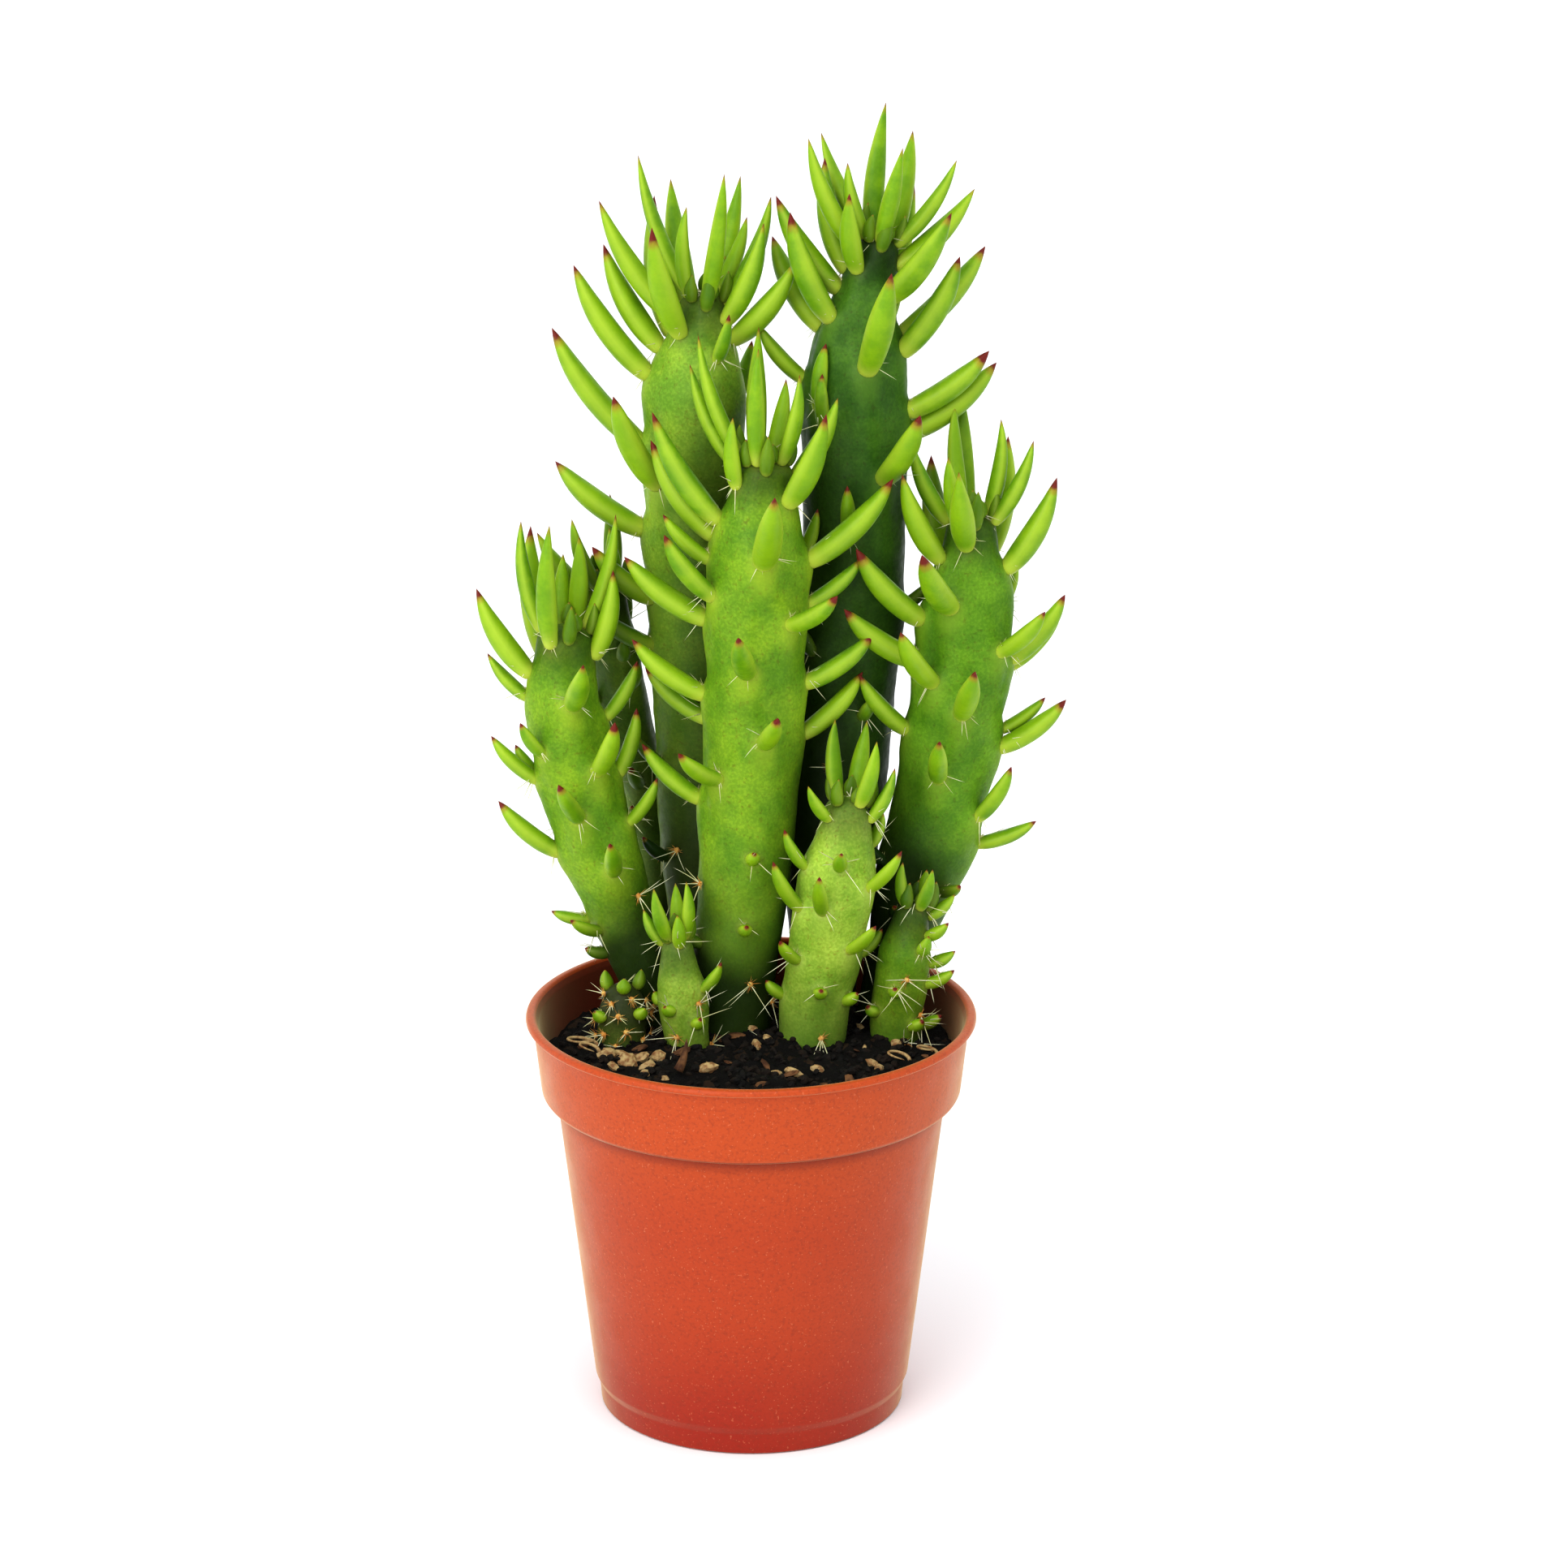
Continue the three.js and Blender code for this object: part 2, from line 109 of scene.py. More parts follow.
def bristle(start, direction, length, thick, bend, rng, steps=4, sides=4):
    # One tapering hair or spine that curves a little on its way
    direction = np.array(direction, float)
    direction /= np.linalg.norm(direction)
    sideways = np.cross(direction, rng.normal(size=3))
    sideways /= np.linalg.norm(sideways) + 1e-9
    other = np.cross(direction, sideways)
    rings = []
    angles = np.linspace(0, 2 * math.pi, sides, endpoint=False)
    for step in range(steps):
        share = step / steps
        centre = start + direction * length * share + sideways * bend * length * share * share
        radius = thick * (1 - share) ** 0.6
        rings.append([centre + radius * (math.cos(a) * sideways + math.sin(a) * other) for a in angles])
    tip = start + direction * length + sideways * bend * length
    return skinOver(np.array(rings), start - direction * 0.1, tip)


# Shader helpers

def newMaterial(name):
    material = bpy.data.materials.new(name)
    material.use_nodes = True
    tree = material.node_tree
    return material, tree, tree.nodes["Principled BSDF"]


def nodeOf(tree, kind, inputs=None, **settings):
    # A node with its settings and inputs; an input may be a value or another node's output
    node = tree.nodes.new(kind)
    for key, value in settings.items():
        setattr(node, key, value)
    for key, value in (inputs or {}).items():
        link(tree, value, node.inputs[key])
    return node


def link(tree, value, socket):
    if isinstance(value, bpy.types.NodeSocket):
        tree.links.new(value, socket)
    else:
        socket.default_value = value


def rgb(r, g, b):
    # A colour given as it looks on screen, from 0 to 255
    def straight(v):
        v /= 255
        return v / 12.92 if v <= 0.04045 else ((v + 0.055) / 1.055) ** 2.4
    return (straight(r), straight(g), straight(b), 1)


def mark(tree, name):
    return nodeOf(tree, "ShaderNodeAttribute", attribute_name=name).outputs["Fac"]


def place(tree):
    return nodeOf(tree, "ShaderNodeTexCoord").outputs["Object"]


def grainOf(tree, where, size, detail=3.0, roughness=0.55):
    # Noise whose lumps are about `size` millimetres
    return nodeOf(tree, "ShaderNodeTexNoise", {"Vector": where, "Scale": 1 / (size * mm),
                                               "Detail": detail, "Roughness": roughness}).outputs["Fac"]


def mathOf(tree, operation, *values):
    node = nodeOf(tree, "ShaderNodeMath", operation=operation)
    for i, value in enumerate(values):
        link(tree, value, node.inputs[i])
    return node.outputs[0]


def rangeOf(tree, value, fromLow, fromHigh, toLow=0.0, toHigh=1.0, smooth=True):
    return nodeOf(tree, "ShaderNodeMapRange", {"Value": value, "From Min": fromLow, "From Max": fromHigh,
                                               "To Min": toLow, "To Max": toHigh},
                  interpolation_type="SMOOTHSTEP" if smooth else "LINEAR").outputs["Result"]


def mixOf(tree, share, first, second, blend="MIX"):
    node = nodeOf(tree, "ShaderNodeMix", data_type="RGBA", blend_type=blend)
    link(tree, share, node.inputs["Factor"])
    link(tree, first, node.inputs[6])
    link(tree, second, node.inputs[7])
    return node.outputs[2]


def scaled(tree, value, share):
    return mathOf(tree, "MULTIPLY", value, share)


def over(tree, colour, cover, value, share):
    # `cover` laid over a colour, as far as `value` times `share`
    return mixOf(tree, scaled(tree, value, share), colour, cover)


def setSockets(shader, values):
    for key, value in values.items():
        shader.inputs[key].default_value = value


def bumpOf(tree, height, strength, distance):
    return nodeOf(tree, "ShaderNodeBump", {"Height": height, "Strength": strength,
                                           "Distance": distance * mm}).outputs["Normal"]


def newGroup(name, inputs, outputs):
    group = bpy.data.node_groups.new(name, "ShaderNodeTree")
    for socketName, kind, value in inputs:
        socket = group.interface.new_socket(socketName, in_out="INPUT", socket_type=kind)
        if value is not None:
            socket.default_value = value
    for socketName, kind in outputs:
        group.interface.new_socket(socketName, in_out="OUTPUT", socket_type=kind)
    start = group.nodes.new("NodeGroupInput")
    end = group.nodes.new("NodeGroupOutput")
    return group, start, end


def placedGroup(tree, group, inputs):
    node = tree.nodes.new("ShaderNodeGroup")
    node.node_tree = group
    for key, value in inputs.items():
        link(tree, value, node.inputs[key])
    return node


# Stage: camera, floor and lights

cameraLook = {"place": (0.0061, -0.983, 0.443), "down": 18.04, "lens": 127.7, "sensor": 36}
stageLook = {
    "floor": (0.97, 0.97, 0.97, 1),
    "world": (0.95, 0.97, 1.0, 1),
    "worldStrength": 0.95,
    "exposure": 0.2, "gamma": 0.85,
    "sun": {"aim": (0.05, 0.5, -1.0), "strength": 0.7, "angle": 50},
    "lights": [
        # name, place, aim, size, watts
        ("frontBox", (-0.5, -0.8, 0.55), (0, 0, 0.14), 0.8, 4.0),
    ],
}


def makeStage():
    data = bpy.data.cameras.new("camera")
    data.lens = cameraLook["lens"]
    data.sensor_width = cameraLook["sensor"]
    data.clip_start = 0.01
    data.clip_end = 60
    camera = bpy.data.objects.new("camera", data)
    camera.location = cameraLook["place"]
    camera.rotation_euler = (math.radians(90 - cameraLook["down"]), 0, 0)
    scene.collection.objects.link(camera)
    scene.camera = camera

    world = bpy.data.worlds.new("softRoom")
    world.use_nodes = True
    background = world.node_tree.nodes["Background"]
    background.inputs["Color"].default_value = stageLook["world"]
    background.inputs["Strength"].default_value = stageLook["worldStrength"]
    scene.world = world
    scene.view_settings.view_transform = "Standard"
    scene.view_settings.exposure = stageLook["exposure"]
    scene.view_settings.gamma = stageLook["gamma"]

    sunLook = stageLook["sun"]
    light = bpy.data.lights.new("softSun", "SUN")
    light.energy = sunLook["strength"]
    light.angle = math.radians(sunLook["angle"])
    sun = bpy.data.objects.new("softSun", light)
    sun.rotation_euler = Vector(sunLook["aim"]).to_track_quat("-Z", "Y").to_euler()
    scene.collection.objects.link(sun)

    for name, where, aim, size, watts in stageLook["lights"]:
        light = bpy.data.lights.new(name, "AREA")
        light.shape = "DISK"
        light.size = size
        light.energy = watts
        lamp = bpy.data.objects.new(name, light)
        lamp.location = where
        lamp.rotation_euler = (Vector(aim) - Vector(where)).to_track_quat("-Z", "Y").to_euler()
        scene.collection.objects.link(lamp)

    half = 9
    mesh = bpy.data.meshes.new("floor")
    corners = [(-half, -half, 0), (half, -half, 0), (half, half, 0), (-half, half, 0)]
    mesh.from_pydata(corners, [], [(0, 1, 2, 3)])
    floor = bpy.data.objects.new("floor", mesh)
    floor.location.z = -0.0002
    scene.collection.objects.link(floor)
    material, _, shader = newMaterial("floorPaper")
    setSockets(shader, {"Base Color": stageLook["floor"], "Roughness": 0.9, "Specular IOR Level": 0.1})
    mesh.materials.append(material)


makeStage()
print("stage ready")


# Each stem: its centre line from the soil up, its radius at the foot, the belly and the neck, and the length
# of its taper from tip to belly. A leaf is (drop below the tip, bearing, length, lift above the stem's square),
# where bearing 0 faces the front and 90 the right. "loose" counts the listed leaves that are pieces of their
# own. "behind" spreads the far side's leaves, whose lengths and lifts at the tip, the neck, 0.4 of the way down
# and the foot are "lengths" and "lifts". "shade" is painted shade over the foot, near the soil. "bare" are
# woolly spots, as (drop, bearing), that have lost their leaf.
plantStems = {
    "back_right": {
        "line": [
            (14, 26, 70), (15, 25.6, 102), (17.2, 25, 127), (19.3, 25, 158), (19.2, 25, 186), (20.6, 25, 204),
            (24, 25, 221.3),
        ],
        "girth": (6.4, 10, 3.8), "taper": 34, "loose": 12,
        "lengths": (24, 24, 21, 9), "lifts": (76, 62, 52, 40),
        "leaves": [
            (3, -162, 27, 72), (1, 2, 20, 76), (5, 151, 25, 90), (3.5, -77, 24, 54), (1, -126, 22, 46),
            (1.5, 91, 20, 66), (7, -43, 17, 64), (11, 41, 24, 59), (16.5, -62, 24, 58), (19.5, 106, 24, 51),
            (24, 11, 25, 60), (11.5, -85, 22, 45), (1, -81, 15, 64), (5.5, 98, 21, 56), (8.5, -107, 22, 65),
            (13, 154, 23, 74), (19.5, -110, 20, 51), (21.5, 78, 22, 65), (28.5, -90, 14, 46),
            (32.5, -44, 13, 94), (33, 81, 20, 40), (35.5, -35, 11, 82), (38, 92, 22, 39), (45, 33, 20, 49),
            (56, -6, 12, 72), (70.5, 75, 8, 46), (79.5, -45, 6, 60), (90.5, 20, 6, 50),
        ],
        "behind": {"first": 20, "every": 13, "last": 104, "bearing": 180}, "shade": 0.9,
        "skin": "shaded", "seed": 11, "buds": 7, "spines": (3, 6), "longestSpine": 7,
        "bare": [(100.5, -10), (116.5, 40), (130.5, -35)],
    },
    "back_left": {
        "line": [
            (-9.4, 27.5, 70), (-8.6, 28.5, 95), (-9.2, 28.5, 126), (-10.3, 28, 158), (-10.3, 27.2, 186),
            (-9.2, 26.5, 203), (-8.6, 26, 210.2),
        ],
        "girth": (6.4, 9.7, 4.2), "taper": 22, "loose": 10,
        "lengths": (24, 26, 20, 9), "lifts": (76, 56, 44, 36),
        "leaves": [
            (1, -111, 28, 63), (5.5, -153, 26, 61), (1, 13, 27, 79), (2.5, 156, 24, 69), (2.5, 97, 23, 72),
            (5.5, -92, 27, 53), (7.5, -42, 25, 65), (8.5, 75, 21, 56), (17, -93, 26, 52), (12, -100, 23, 56),
            (1, -71, 18, 83), (1, 128, 16, 68), (5, 62, 22, 72), (10, -123, 27, 76), (11.5, 28, 11, 70),
            (30, -91, 29, 52), (35.5, -45, 23, 59), (46, -89, 22, 39), (58, -60, 18, 44),
            (67.5, -66, 16, 38), (75.5, -5, 5, 50), (91, -54, 10, 48), (110, -56, 8, 42),
        ],
        "behind": {"first": 24, "every": 14, "last": 99, "bearing": 170}, "shade": 0.9,
        "skin": "bluish", "seed": 12, "buds": 7, "spines": (3, 6), "longestSpine": 7,
        "bare": [(107.5, -35), (121.5, 20)],
    },
    "front_centre": {
        "line": [
            (-3.6, 11, 70), (-3, 10.5, 83), (-0.9, 10, 105), (0.4, 9.8, 130), (1.5, 9.8, 161),
            (2.3, 10, 183),
        ],
        "girth": (7.8, 9.3, 5.4), "taper": 22, "loose": 12,
        "lengths": (26, 23, 16, 7), "lifts": (78, 58, 44, 32),
        "leaves": [
            (1, -99, 25, 68), (2.5, -111, 21, 61), (5.5, -53, 14, 83), (3, -169, 26, 83), (1, -15, 23, 84),
            (1, 62, 18, 79), (8, 49, 21, 65), (4.5, 94, 18, 63), (12.5, -84, 25, 57), (18, 5, 25, 44),
            (19.5, 86, 23, 47), (16, -101, 22, 53), (1, 152, 15, 72), (20, -85, 13, 43), (26, -64, 17, 50),
            (28, 90, 14, 42), (30, 41, 16, 33), (31.5, -92, 20, 35), (39, -9, 17, 39),
            (43, 84, 17, 39), (46, -87, 18, 36), (53.5, 95, 17, 48), (52.5, 12, 15, 36),
            (52, -112, 16, 31), (60.5, -40, 15, 32), (67, -91, 16, 41), (75.5, 6, 4, 40),
            (89.5, 5, 4, 30), (94.5, -60, 4, 30),
        ],
        "behind": {"first": 22, "every": 13, "last": 58, "bearing": 160}, "shade": 0.9,
        "skin": "fresh", "seed": 13, "buds": 6, "spines": (3, 6), "longestSpine": 7,
        "bare": [(100.5, 20), (82.5, -62), (105.5, 62)],
    },
    "right": {
        "line": [
            (25, 19, 70), (29, 20, 88), (35.2, 18.5, 112), (38.8, 17, 134), (40.4, 17, 152),
            (41.2, 17, 170.5),
        ],
        "girth": (5.2, 9.1, 4.4), "taper": 22, "loose": 9,
        "lengths": (24, 20, 15, 8), "lifts": (76, 60, 47, 40),
        "leaves": [
            (1, -148, 21, 77), (4, -170, 25, 71), (2.5, -93, 18, 63), (1, 108, 19, 84), (2, 85, 18, 67),
            (11, 85, 21, 64), (9, -65, 20, 62), (5.5, -11, 23, 52), (16.5, -24, 22, 40), (2, -32, 16, 67),
            (9.5, 141, 23, 79), (13, -146, 22, 71), (20.5, -68, 21, 44), (25, 46, 15, 45),
            (27.5, 80, 17, 56), (29.5, 98, 16, 54), (28.5, -67, 20, 32), (31.5, -37, 18, 43),
            (36.5, 3, 17, 48), (41.5, 90, 11, 45), (43, -73, 16, 43), (44.5, 80, 17, 47),
            (49.5, -12, 15, 49), (57.5, 53, 14, 68), (63.5, 79, 13, 38), (70.5, -60, 8, 36),
            (72.5, 30, 7, 36), (79.5, -20, 5, 36),
        ],
        "behind": {"first": 20, "every": 12, "last": 68, "bearing": 165}, "shade": 0.9,
        "skin": "clear", "seed": 14, "buds": 6, "spines": (3, 6), "longestSpine": 7,
        "bare": [(88.5, 55), (94.5, 10)],
    },
    "left": {
        "line": [
            (-18.5, 13, 70), (-21.6, 13.5, 84), (-25.8, 14, 97), (-31, 14, 113), (-35, 14, 134),
            (-34.4, 14, 149.5),
        ],
        "girth": (4.4, 7.5, 5.2), "taper": 22, "loose": 5,
        "lengths": (22, 18, 14, 6), "lifts": (78, 58, 50, 38),
        "leaves": [
            (2, -100, 22, 76), (3.5, -31, 25, 82), (1, 108, 23, 77), (10, -90, 20, 56), (6, 83, 18, 81),
            (2.5, 161, 19, 93), (3, -169, 15, 74), (7.5, -135, 25, 76), (14.5, -100, 12, 49),
            (14, 15, 17, 43), (23, -43, 9, 61), (29, -84, 13, 57), (28, 36, 16, 46), (19.5, 95, 13, 52),
            (31.5, 92, 14, 60),
            (36, -7, 14, 48), (41, 73, 12, 41), (43, -82, 16, 60), (48, 15, 14, 39), (57.5, -88, 8, 30),
            (59.5, -50, 8, 40), (64.5, -70, 5, 30), (64.5, 70, 4, 30),
        ],
        "behind": {"first": 17, "every": 12, "last": 61, "bearing": 228}, "shade": 0.9,
        "skin": "fresh", "seed": 15, "buds": 6, "spines": (3, 6), "longestSpine": 7,
        "bare": [(54.5, 40), (68.5, 62), (76.5, 10)],
    },
    "inner_left": {
        "line": [
            (-20.2, 26.6, 70), (-19.9, 30.5, 79), (-18.2, 38.2, 94), (-19.8, 38.8, 106), (-24.4, 33.5, 128),
            (-26, 29, 143), (-26.8, 27, 154),
        ],
        "girth": (3.2, 5, 3.2), "taper": 20, "loose": 0,
        "lengths": (20, 18, 13, 6), "lifts": (78, 58, 46, 36),
        "leaves": [
            (1, 20, 14, 84), (1, -60, 17, 74), (2, 170, 18, 76), (4, -95, 18, 56), (9, -90, 16, 46),
            (14, 20, 6, 70), (20, 30, 9, 60), (24, -60, 5, 50), (34, 10, 4, 50), (43, -4, 8, 58),
            (50, -24, 4, 50),
        ],
        "behind": {"first": 12, "every": 14, "last": 60, "bearing": 190}, "shade": 0.9,
        "skin": "bluish", "seed": 16, "buds": 5, "spines": (2, 5), "longestSpine": 7,
        "bare": [(38, 40), (60, 10)],
    },
    "front_pup_right": {
        "line": [(11.5, 4, 70), (12.9, 4, 84), (14.8, 4, 94), (16.8, 4, 107), (18.4, 4, 119)],
        "girth": (6.6, 7.7, 4.2), "taper": 18, "loose": 0,
        "lengths": (15, 13, 11, 5), "lifts": (76, 60, 48, 36),
        "leaves": [
            (1, -135, 15, 76), (1, 165, 15, 76), (1, 42, 14, 80), (4, 76, 12, 72), (4, -50, 10, 48),
            (12, -3, 7, 42), (14, -64, 10, 52), (16, 50, 12, 56), (21, -17, 12, 51), (22, -58, 13, 50),
            (28, 36, 10, 50), (31, 104, 7, 56), (32, -45, 8, 36), (37, 2, 3, 28), (39, 52, 4, 40),
            (40, -76, 5, 36),
        ],
        "behind": {"first": 10, "every": 10, "last": 38, "bearing": 150}, "shade": 0.3,
        "skin": "young", "seed": 17, "buds": 5, "spines": (2, 6), "longestSpine": 8,
        "bare": [(46, 12), (50, -70), (52, 70)],
    },
    "front_pup_left": {
        "line": [(-12, 1, 70), (-12.9, 1, 80), (-14.2, 1, 93)],
        "girth": (4.6, 5.2, 2.8), "taper": 14, "loose": 0,
        "lengths": (12, 9, 6, 3), "lifts": (74, 56, 44, 34),
        "leaves": [
            (1, -40, 12, 76), (1, 60, 12, 80), (1, 170, 10, 72), (2, -95, 8, 66), (2, 15, 7, 80),
            (11, 62, 8, 50), (14, -30, 3, 36), (17, 30, 3, 34),
        ],
        "behind": {"first": 8, "every": 6, "last": 20, "bearing": 215}, "shade": 0.3,
        "skin": "young", "seed": 18, "buds": 4, "spines": (2, 6), "longestSpine": 8,
        "bare": [(13, 40), (19, -20), (22, 70)],
    },
    "side_pup_right": {
        "line": [(27, 6, 70), (28.6, 5.6, 86), (30.9, 5.4, 98)],
        "girth": (4.9, 5.8, 3), "taper": 14, "loose": 0,
        "lengths": (10, 8, 6, 4), "lifts": (74, 52, 38, 30),
        "leaves": [
            (1, 30, 9, 80), (1, -70, 9, 74), (1, 150, 7, 88), (3, 100, 7, 50), (6, 60, 6, 46),
            (12, 84, 6, 36), (16, 74, 7, 36), (17, -10, 2, 40), (24, 40, 4, 34), (25, 86, 5, 30),
            (22, -55, 3, 30),
        ],
        "behind": {"first": 9, "every": 7, "last": 12, "bearing": 70}, "shade": 0.3,
        "skin": "fresh", "seed": 19, "buds": 4, "spines": (3, 7), "longestSpine": 8,
        "bare": [(14, 10), (22, 60), (27, 20)],
    },
    "low_pup": {
        "line": [(-24.5, 4, 70), (-24.3, 4, 76), (-24, 4, 82)],
        "girth": (5, 5.4, 3.4), "taper": 8, "loose": 0,
        "lengths": (4, 3, 3, 2), "lifts": (70, 46, 30, 20),
        "leaves": [(1, 0, 3, 80), (1, 100, 4, 74), (2, -120, 4, 70), (5, 40, 3, 40), (6, -50, 3, 36)],
        "behind": {"first": 5, "every": 5, "last": 8, "bearing": 240}, "shade": 0.3,
        "skin": "knobby", "seed": 20, "buds": 0, "spines": (2, 5), "longestSpine": 3.2,
        "bare": [
            (3, -30), (5, 60), (8, 10), (7, -80), (10, 50), (9, -40), (2, 25), (5, -8), (6, 95), (11, -12),
            (3, 80), (10, 85), (10, -68), (2, -75),
        ],
    },
}

plantBuild = {
    "buried": 5.5, "crownHeight": 3, "neckDrop": 11, "footLength": 40,
    "leafWidth": {"share": 0.25, "least": 2.8, "neck": 3.3, "most": 5.2, "grown": 8},
    "leafBend": 26,
    "crowded": {"length": 0.55, "lift": 14, "fan": (-34, 34, 0)},
    "tubercle": {"height": 1.35, "above": 2.8, "below": 8, "wide": 3.8, "inset": 0.45},
    # Painted shade behind other stems: its reach, its front-to-back span, and the spacing of the stem points it
    # is measured from
    "castShadeReach": {"reach": 16, "from": -6, "to": 8, "every": 8},
}


# Stems

def stemAxis(stem):
    # The stem's centre line as dense points with their distance below the tip
    points = np.array(stem["line"], float)
    points = np.vstack([points[0] - (0, 0, plantBuild["buried"]), points])
    ends = np.vstack([2 * points[0] - points[1], points, 2 * points[-1] - points[-2]])
    dense = []
    for p0, p1, p2, p3 in zip(ends, ends[1:], ends[2:], ends[3:]):
        d0, d1, d2 = (math.sqrt(np.linalg.norm(b - a)) for a, b in ((p0, p1), (p1, p2), (p2, p3)))
        start = ((p1 - p0) / d0 - (p2 - p0) / (d0 + d1) + (p2 - p1) / d1) * d1
        finish = ((p2 - p1) / d1 - (p3 - p1) / (d1 + d2) + (p3 - p2) / d2) * d1
        for share in np.linspace(0, 1, 40, endpoint=False):
            dense.append(p1 + start * share + (3 * (p2 - p1) - 2 * start - finish) * share ** 2
                         + (2 * (p1 - p2) + start + finish) * share ** 3)
    dense = np.array(dense + [points[-1]])
    along = np.concatenate([[0], np.cumsum(np.linalg.norm(np.diff(dense, axis=0), axis=1))])
    return {"points": dense, "drops": along[-1] - along, "length": along[-1]}


def frameAt(axis, drop):
    # Centre, and directions to the right, to the front and up, at a distance below the tip
    drop = min(max(drop, 0), axis["length"])
    at = axis["length"] - drop
    along = axis["length"] - axis["drops"]
    centre = np.array([np.interp(at, along, axis["points"][:, k]) for k in range(3)])
    near = [np.clip(at + step, 0, axis["length"]) for step in (-1.5, 1.5)]
    ends = [np.array([np.interp(a, along, axis["points"][:, k]) for k in range(3)]) for a in near]
    up = ends[1] - ends[0]
    up /= np.linalg.norm(up)
    right = np.array([1.0, 0, 0]) - up[0] * up
    right /= np.linalg.norm(right)
    return centre, right, np.cross(right, up), up


def outward(angle, right, front):
    return math.sin(angle) * right + math.cos(angle) * front


def stemRadius(stem, axis, drop):
    foot, belly, neck = stem["girth"]
    radius = neck + (belly - neck) * ease(drop, 0, stem["taper"])
    rest = axis["length"] - plantBuild["buried"] - drop
    radius = min(radius, foot + (belly - foot) * ease(rest, 0, plantBuild["footLength"]))
    crown = plantBuild["crownHeight"]
    if drop < crown:
        radius *= math.sqrt(max(0, 1 - (1 - drop / crown) ** 2))
    return float(radius)


def byDrop(values, drop, length):
    stops = [0, plantBuild["neckDrop"], 0.4 * length, length]
    return float(np.interp(drop, stops, values))


def leavesOf(stem, axis):
    # Every leaf as a dictionary: those listed one by one, then the far side's
    above = axis["length"] - plantBuild["buried"]
    rows = list(stem["leaves"])
    behind = stem["behind"]
    crowded = plantBuild["crowded"]
    for i, drop in enumerate(range(behind["first"], behind["last"] + 1, behind["every"])):
        rows.append((drop, behind["bearing"] + crowded["fan"][i % 3],
                     crowded["length"] * byDrop(stem["lengths"], drop, above),
                     crowded["lift"] + byDrop(stem["lifts"], drop, above)))
    return [{"drop": drop, "bearing": bearing, "length": length, "lift": lift}
            for drop, bearing, length, lift in rows]


def swelling(leaves, drops, bearings, radii):
    # How far the skin stands out over the tubercles, on a grid of drops and bearings
    form = plantBuild["tubercle"]
    rise = np.zeros((len(drops), len(bearings)))
    halo = np.zeros_like(rise)
    for leaf in leaves:
        down = drops[:, None] - leaf["drop"]
        turn = (bearings[None, :] - math.radians(leaf["bearing"]) + math.pi) % (2 * math.pi) - math.pi
        across = turn * radii[:, None]
        along = np.where(down < 0, down / form["above"], down / form["below"])
        strength = min(1, 0.35 + leaf["length"] / 30) * (0.4 + 0.6 * ease(leaf["drop"], 2, 16))
        rise = np.maximum(rise, strength * np.exp(-along ** 2 - (across / form["wide"]) ** 2))
        halo = np.maximum(halo, np.exp(-((down + 0.6) / 1.1) ** 2 - (across / 1.3) ** 2))
    return form["height"] * rise, halo


def stemCores():
    # The centre line of every stem as a few points with their radii
    cores = {}
    for name, stem in plantStems.items():
        axis = stemAxis(stem)
        drops = np.arange(1, axis["length"], plantBuild["castShadeReach"]["every"])
        cores[name] = (np.array([frameAt(axis, drop)[0] for drop in drops]),
                       np.array([stemRadius(stem, axis, drop) for drop in drops]))
    return cores


def shadeBehindStems(points, name):
    # Painted shade: 0 in the open, up to 1 close behind other stems, where shade falls
    look = plantBuild["castShadeReach"]
    total = np.zeros(len(points))
    for other, (centres, radii) in cores.items():
        if other != name:
            away = np.linalg.norm(points[:, None] - centres[None], axis=2) - radii
            nearest = away.argmin(axis=1)
            close = np.clip(1 - away.min(axis=1) / look["reach"], 0, 1)
            total += close * ease(points[:, 1] - centres[nearest, 1], look["from"], look["to"])
    return np.clip(total, 0, 1)


def stemShape(name, stem, axis, leaves, sides=72):
    length = axis["length"]
    crown = plantBuild["crownHeight"]
    crownDrops = crown * np.array([1, 0.8, 0.6, 0.42, 0.27, 0.15, 0.07, 0.02])
    drops = np.concatenate([np.arange(length - 0.4, crown, -1.15), crownDrops])
    bearings = np.linspace(0, 2 * math.pi, sides, endpoint=False)
    radii = np.array([stemRadius(stem, axis, d) for d in drops])
    rise, halo = swelling(leaves, drops, bearings, np.maximum(radii, 2))
    fade = ease(radii, 1.0, 4.0)[:, None]
    rings = np.zeros((len(drops), sides, 3))
    inset = plantBuild["tubercle"]["inset"]
    for i, drop in enumerate(drops):
        centre, right, front, _ = frameAt(axis, drop)
        for j, bearing in enumerate(bearings):
            out = outward(bearing, right, front)
            point = centre + radii[i] * out
            waver = 0.28 * noise.noise(Vector(point * 0.16)) + 0.1 * noise.noise(Vector(point * 0.5))
            rings[i, j] = point + out * (rise[i, j] + waver - inset) * fade[i, 0]
    rings = rings[:, ::-1]  # turned round, so the skin faces out
    heights = np.repeat((length - drops) / length, sides)
    bulge = rise[:, ::-1].reshape(-1) / plantBuild["tubercle"]["height"]
    # Painted shade: the crown hollow, the foot near the soil and the skin close behind other stems are darkened
    crownShade = 0.7 * (1 - ease(np.repeat(drops, sides), 3, 11))
    shade = stem["shade"] * (1 - ease(rings[:, :, 2].reshape(-1), 73, 92))
    stemShadeMark = np.clip(shadeBehindStems(rings.reshape(-1, 3), name) + crownShade + shade, 0, 1)
    marks = {"height": np.append(heights, [0, 1]), "bulge": np.append(bulge, [0, 0]),
             "halo": np.append(halo[:, ::-1].reshape(-1), [0, 0]), "stemShadeMark": np.append(stemShadeMark, [1, 0])}
    bottom, top = frameAt(axis, length)[0], frameAt(axis, 0)[0]
    return skinOver(rings, bottom, top, marks)


# Leaves

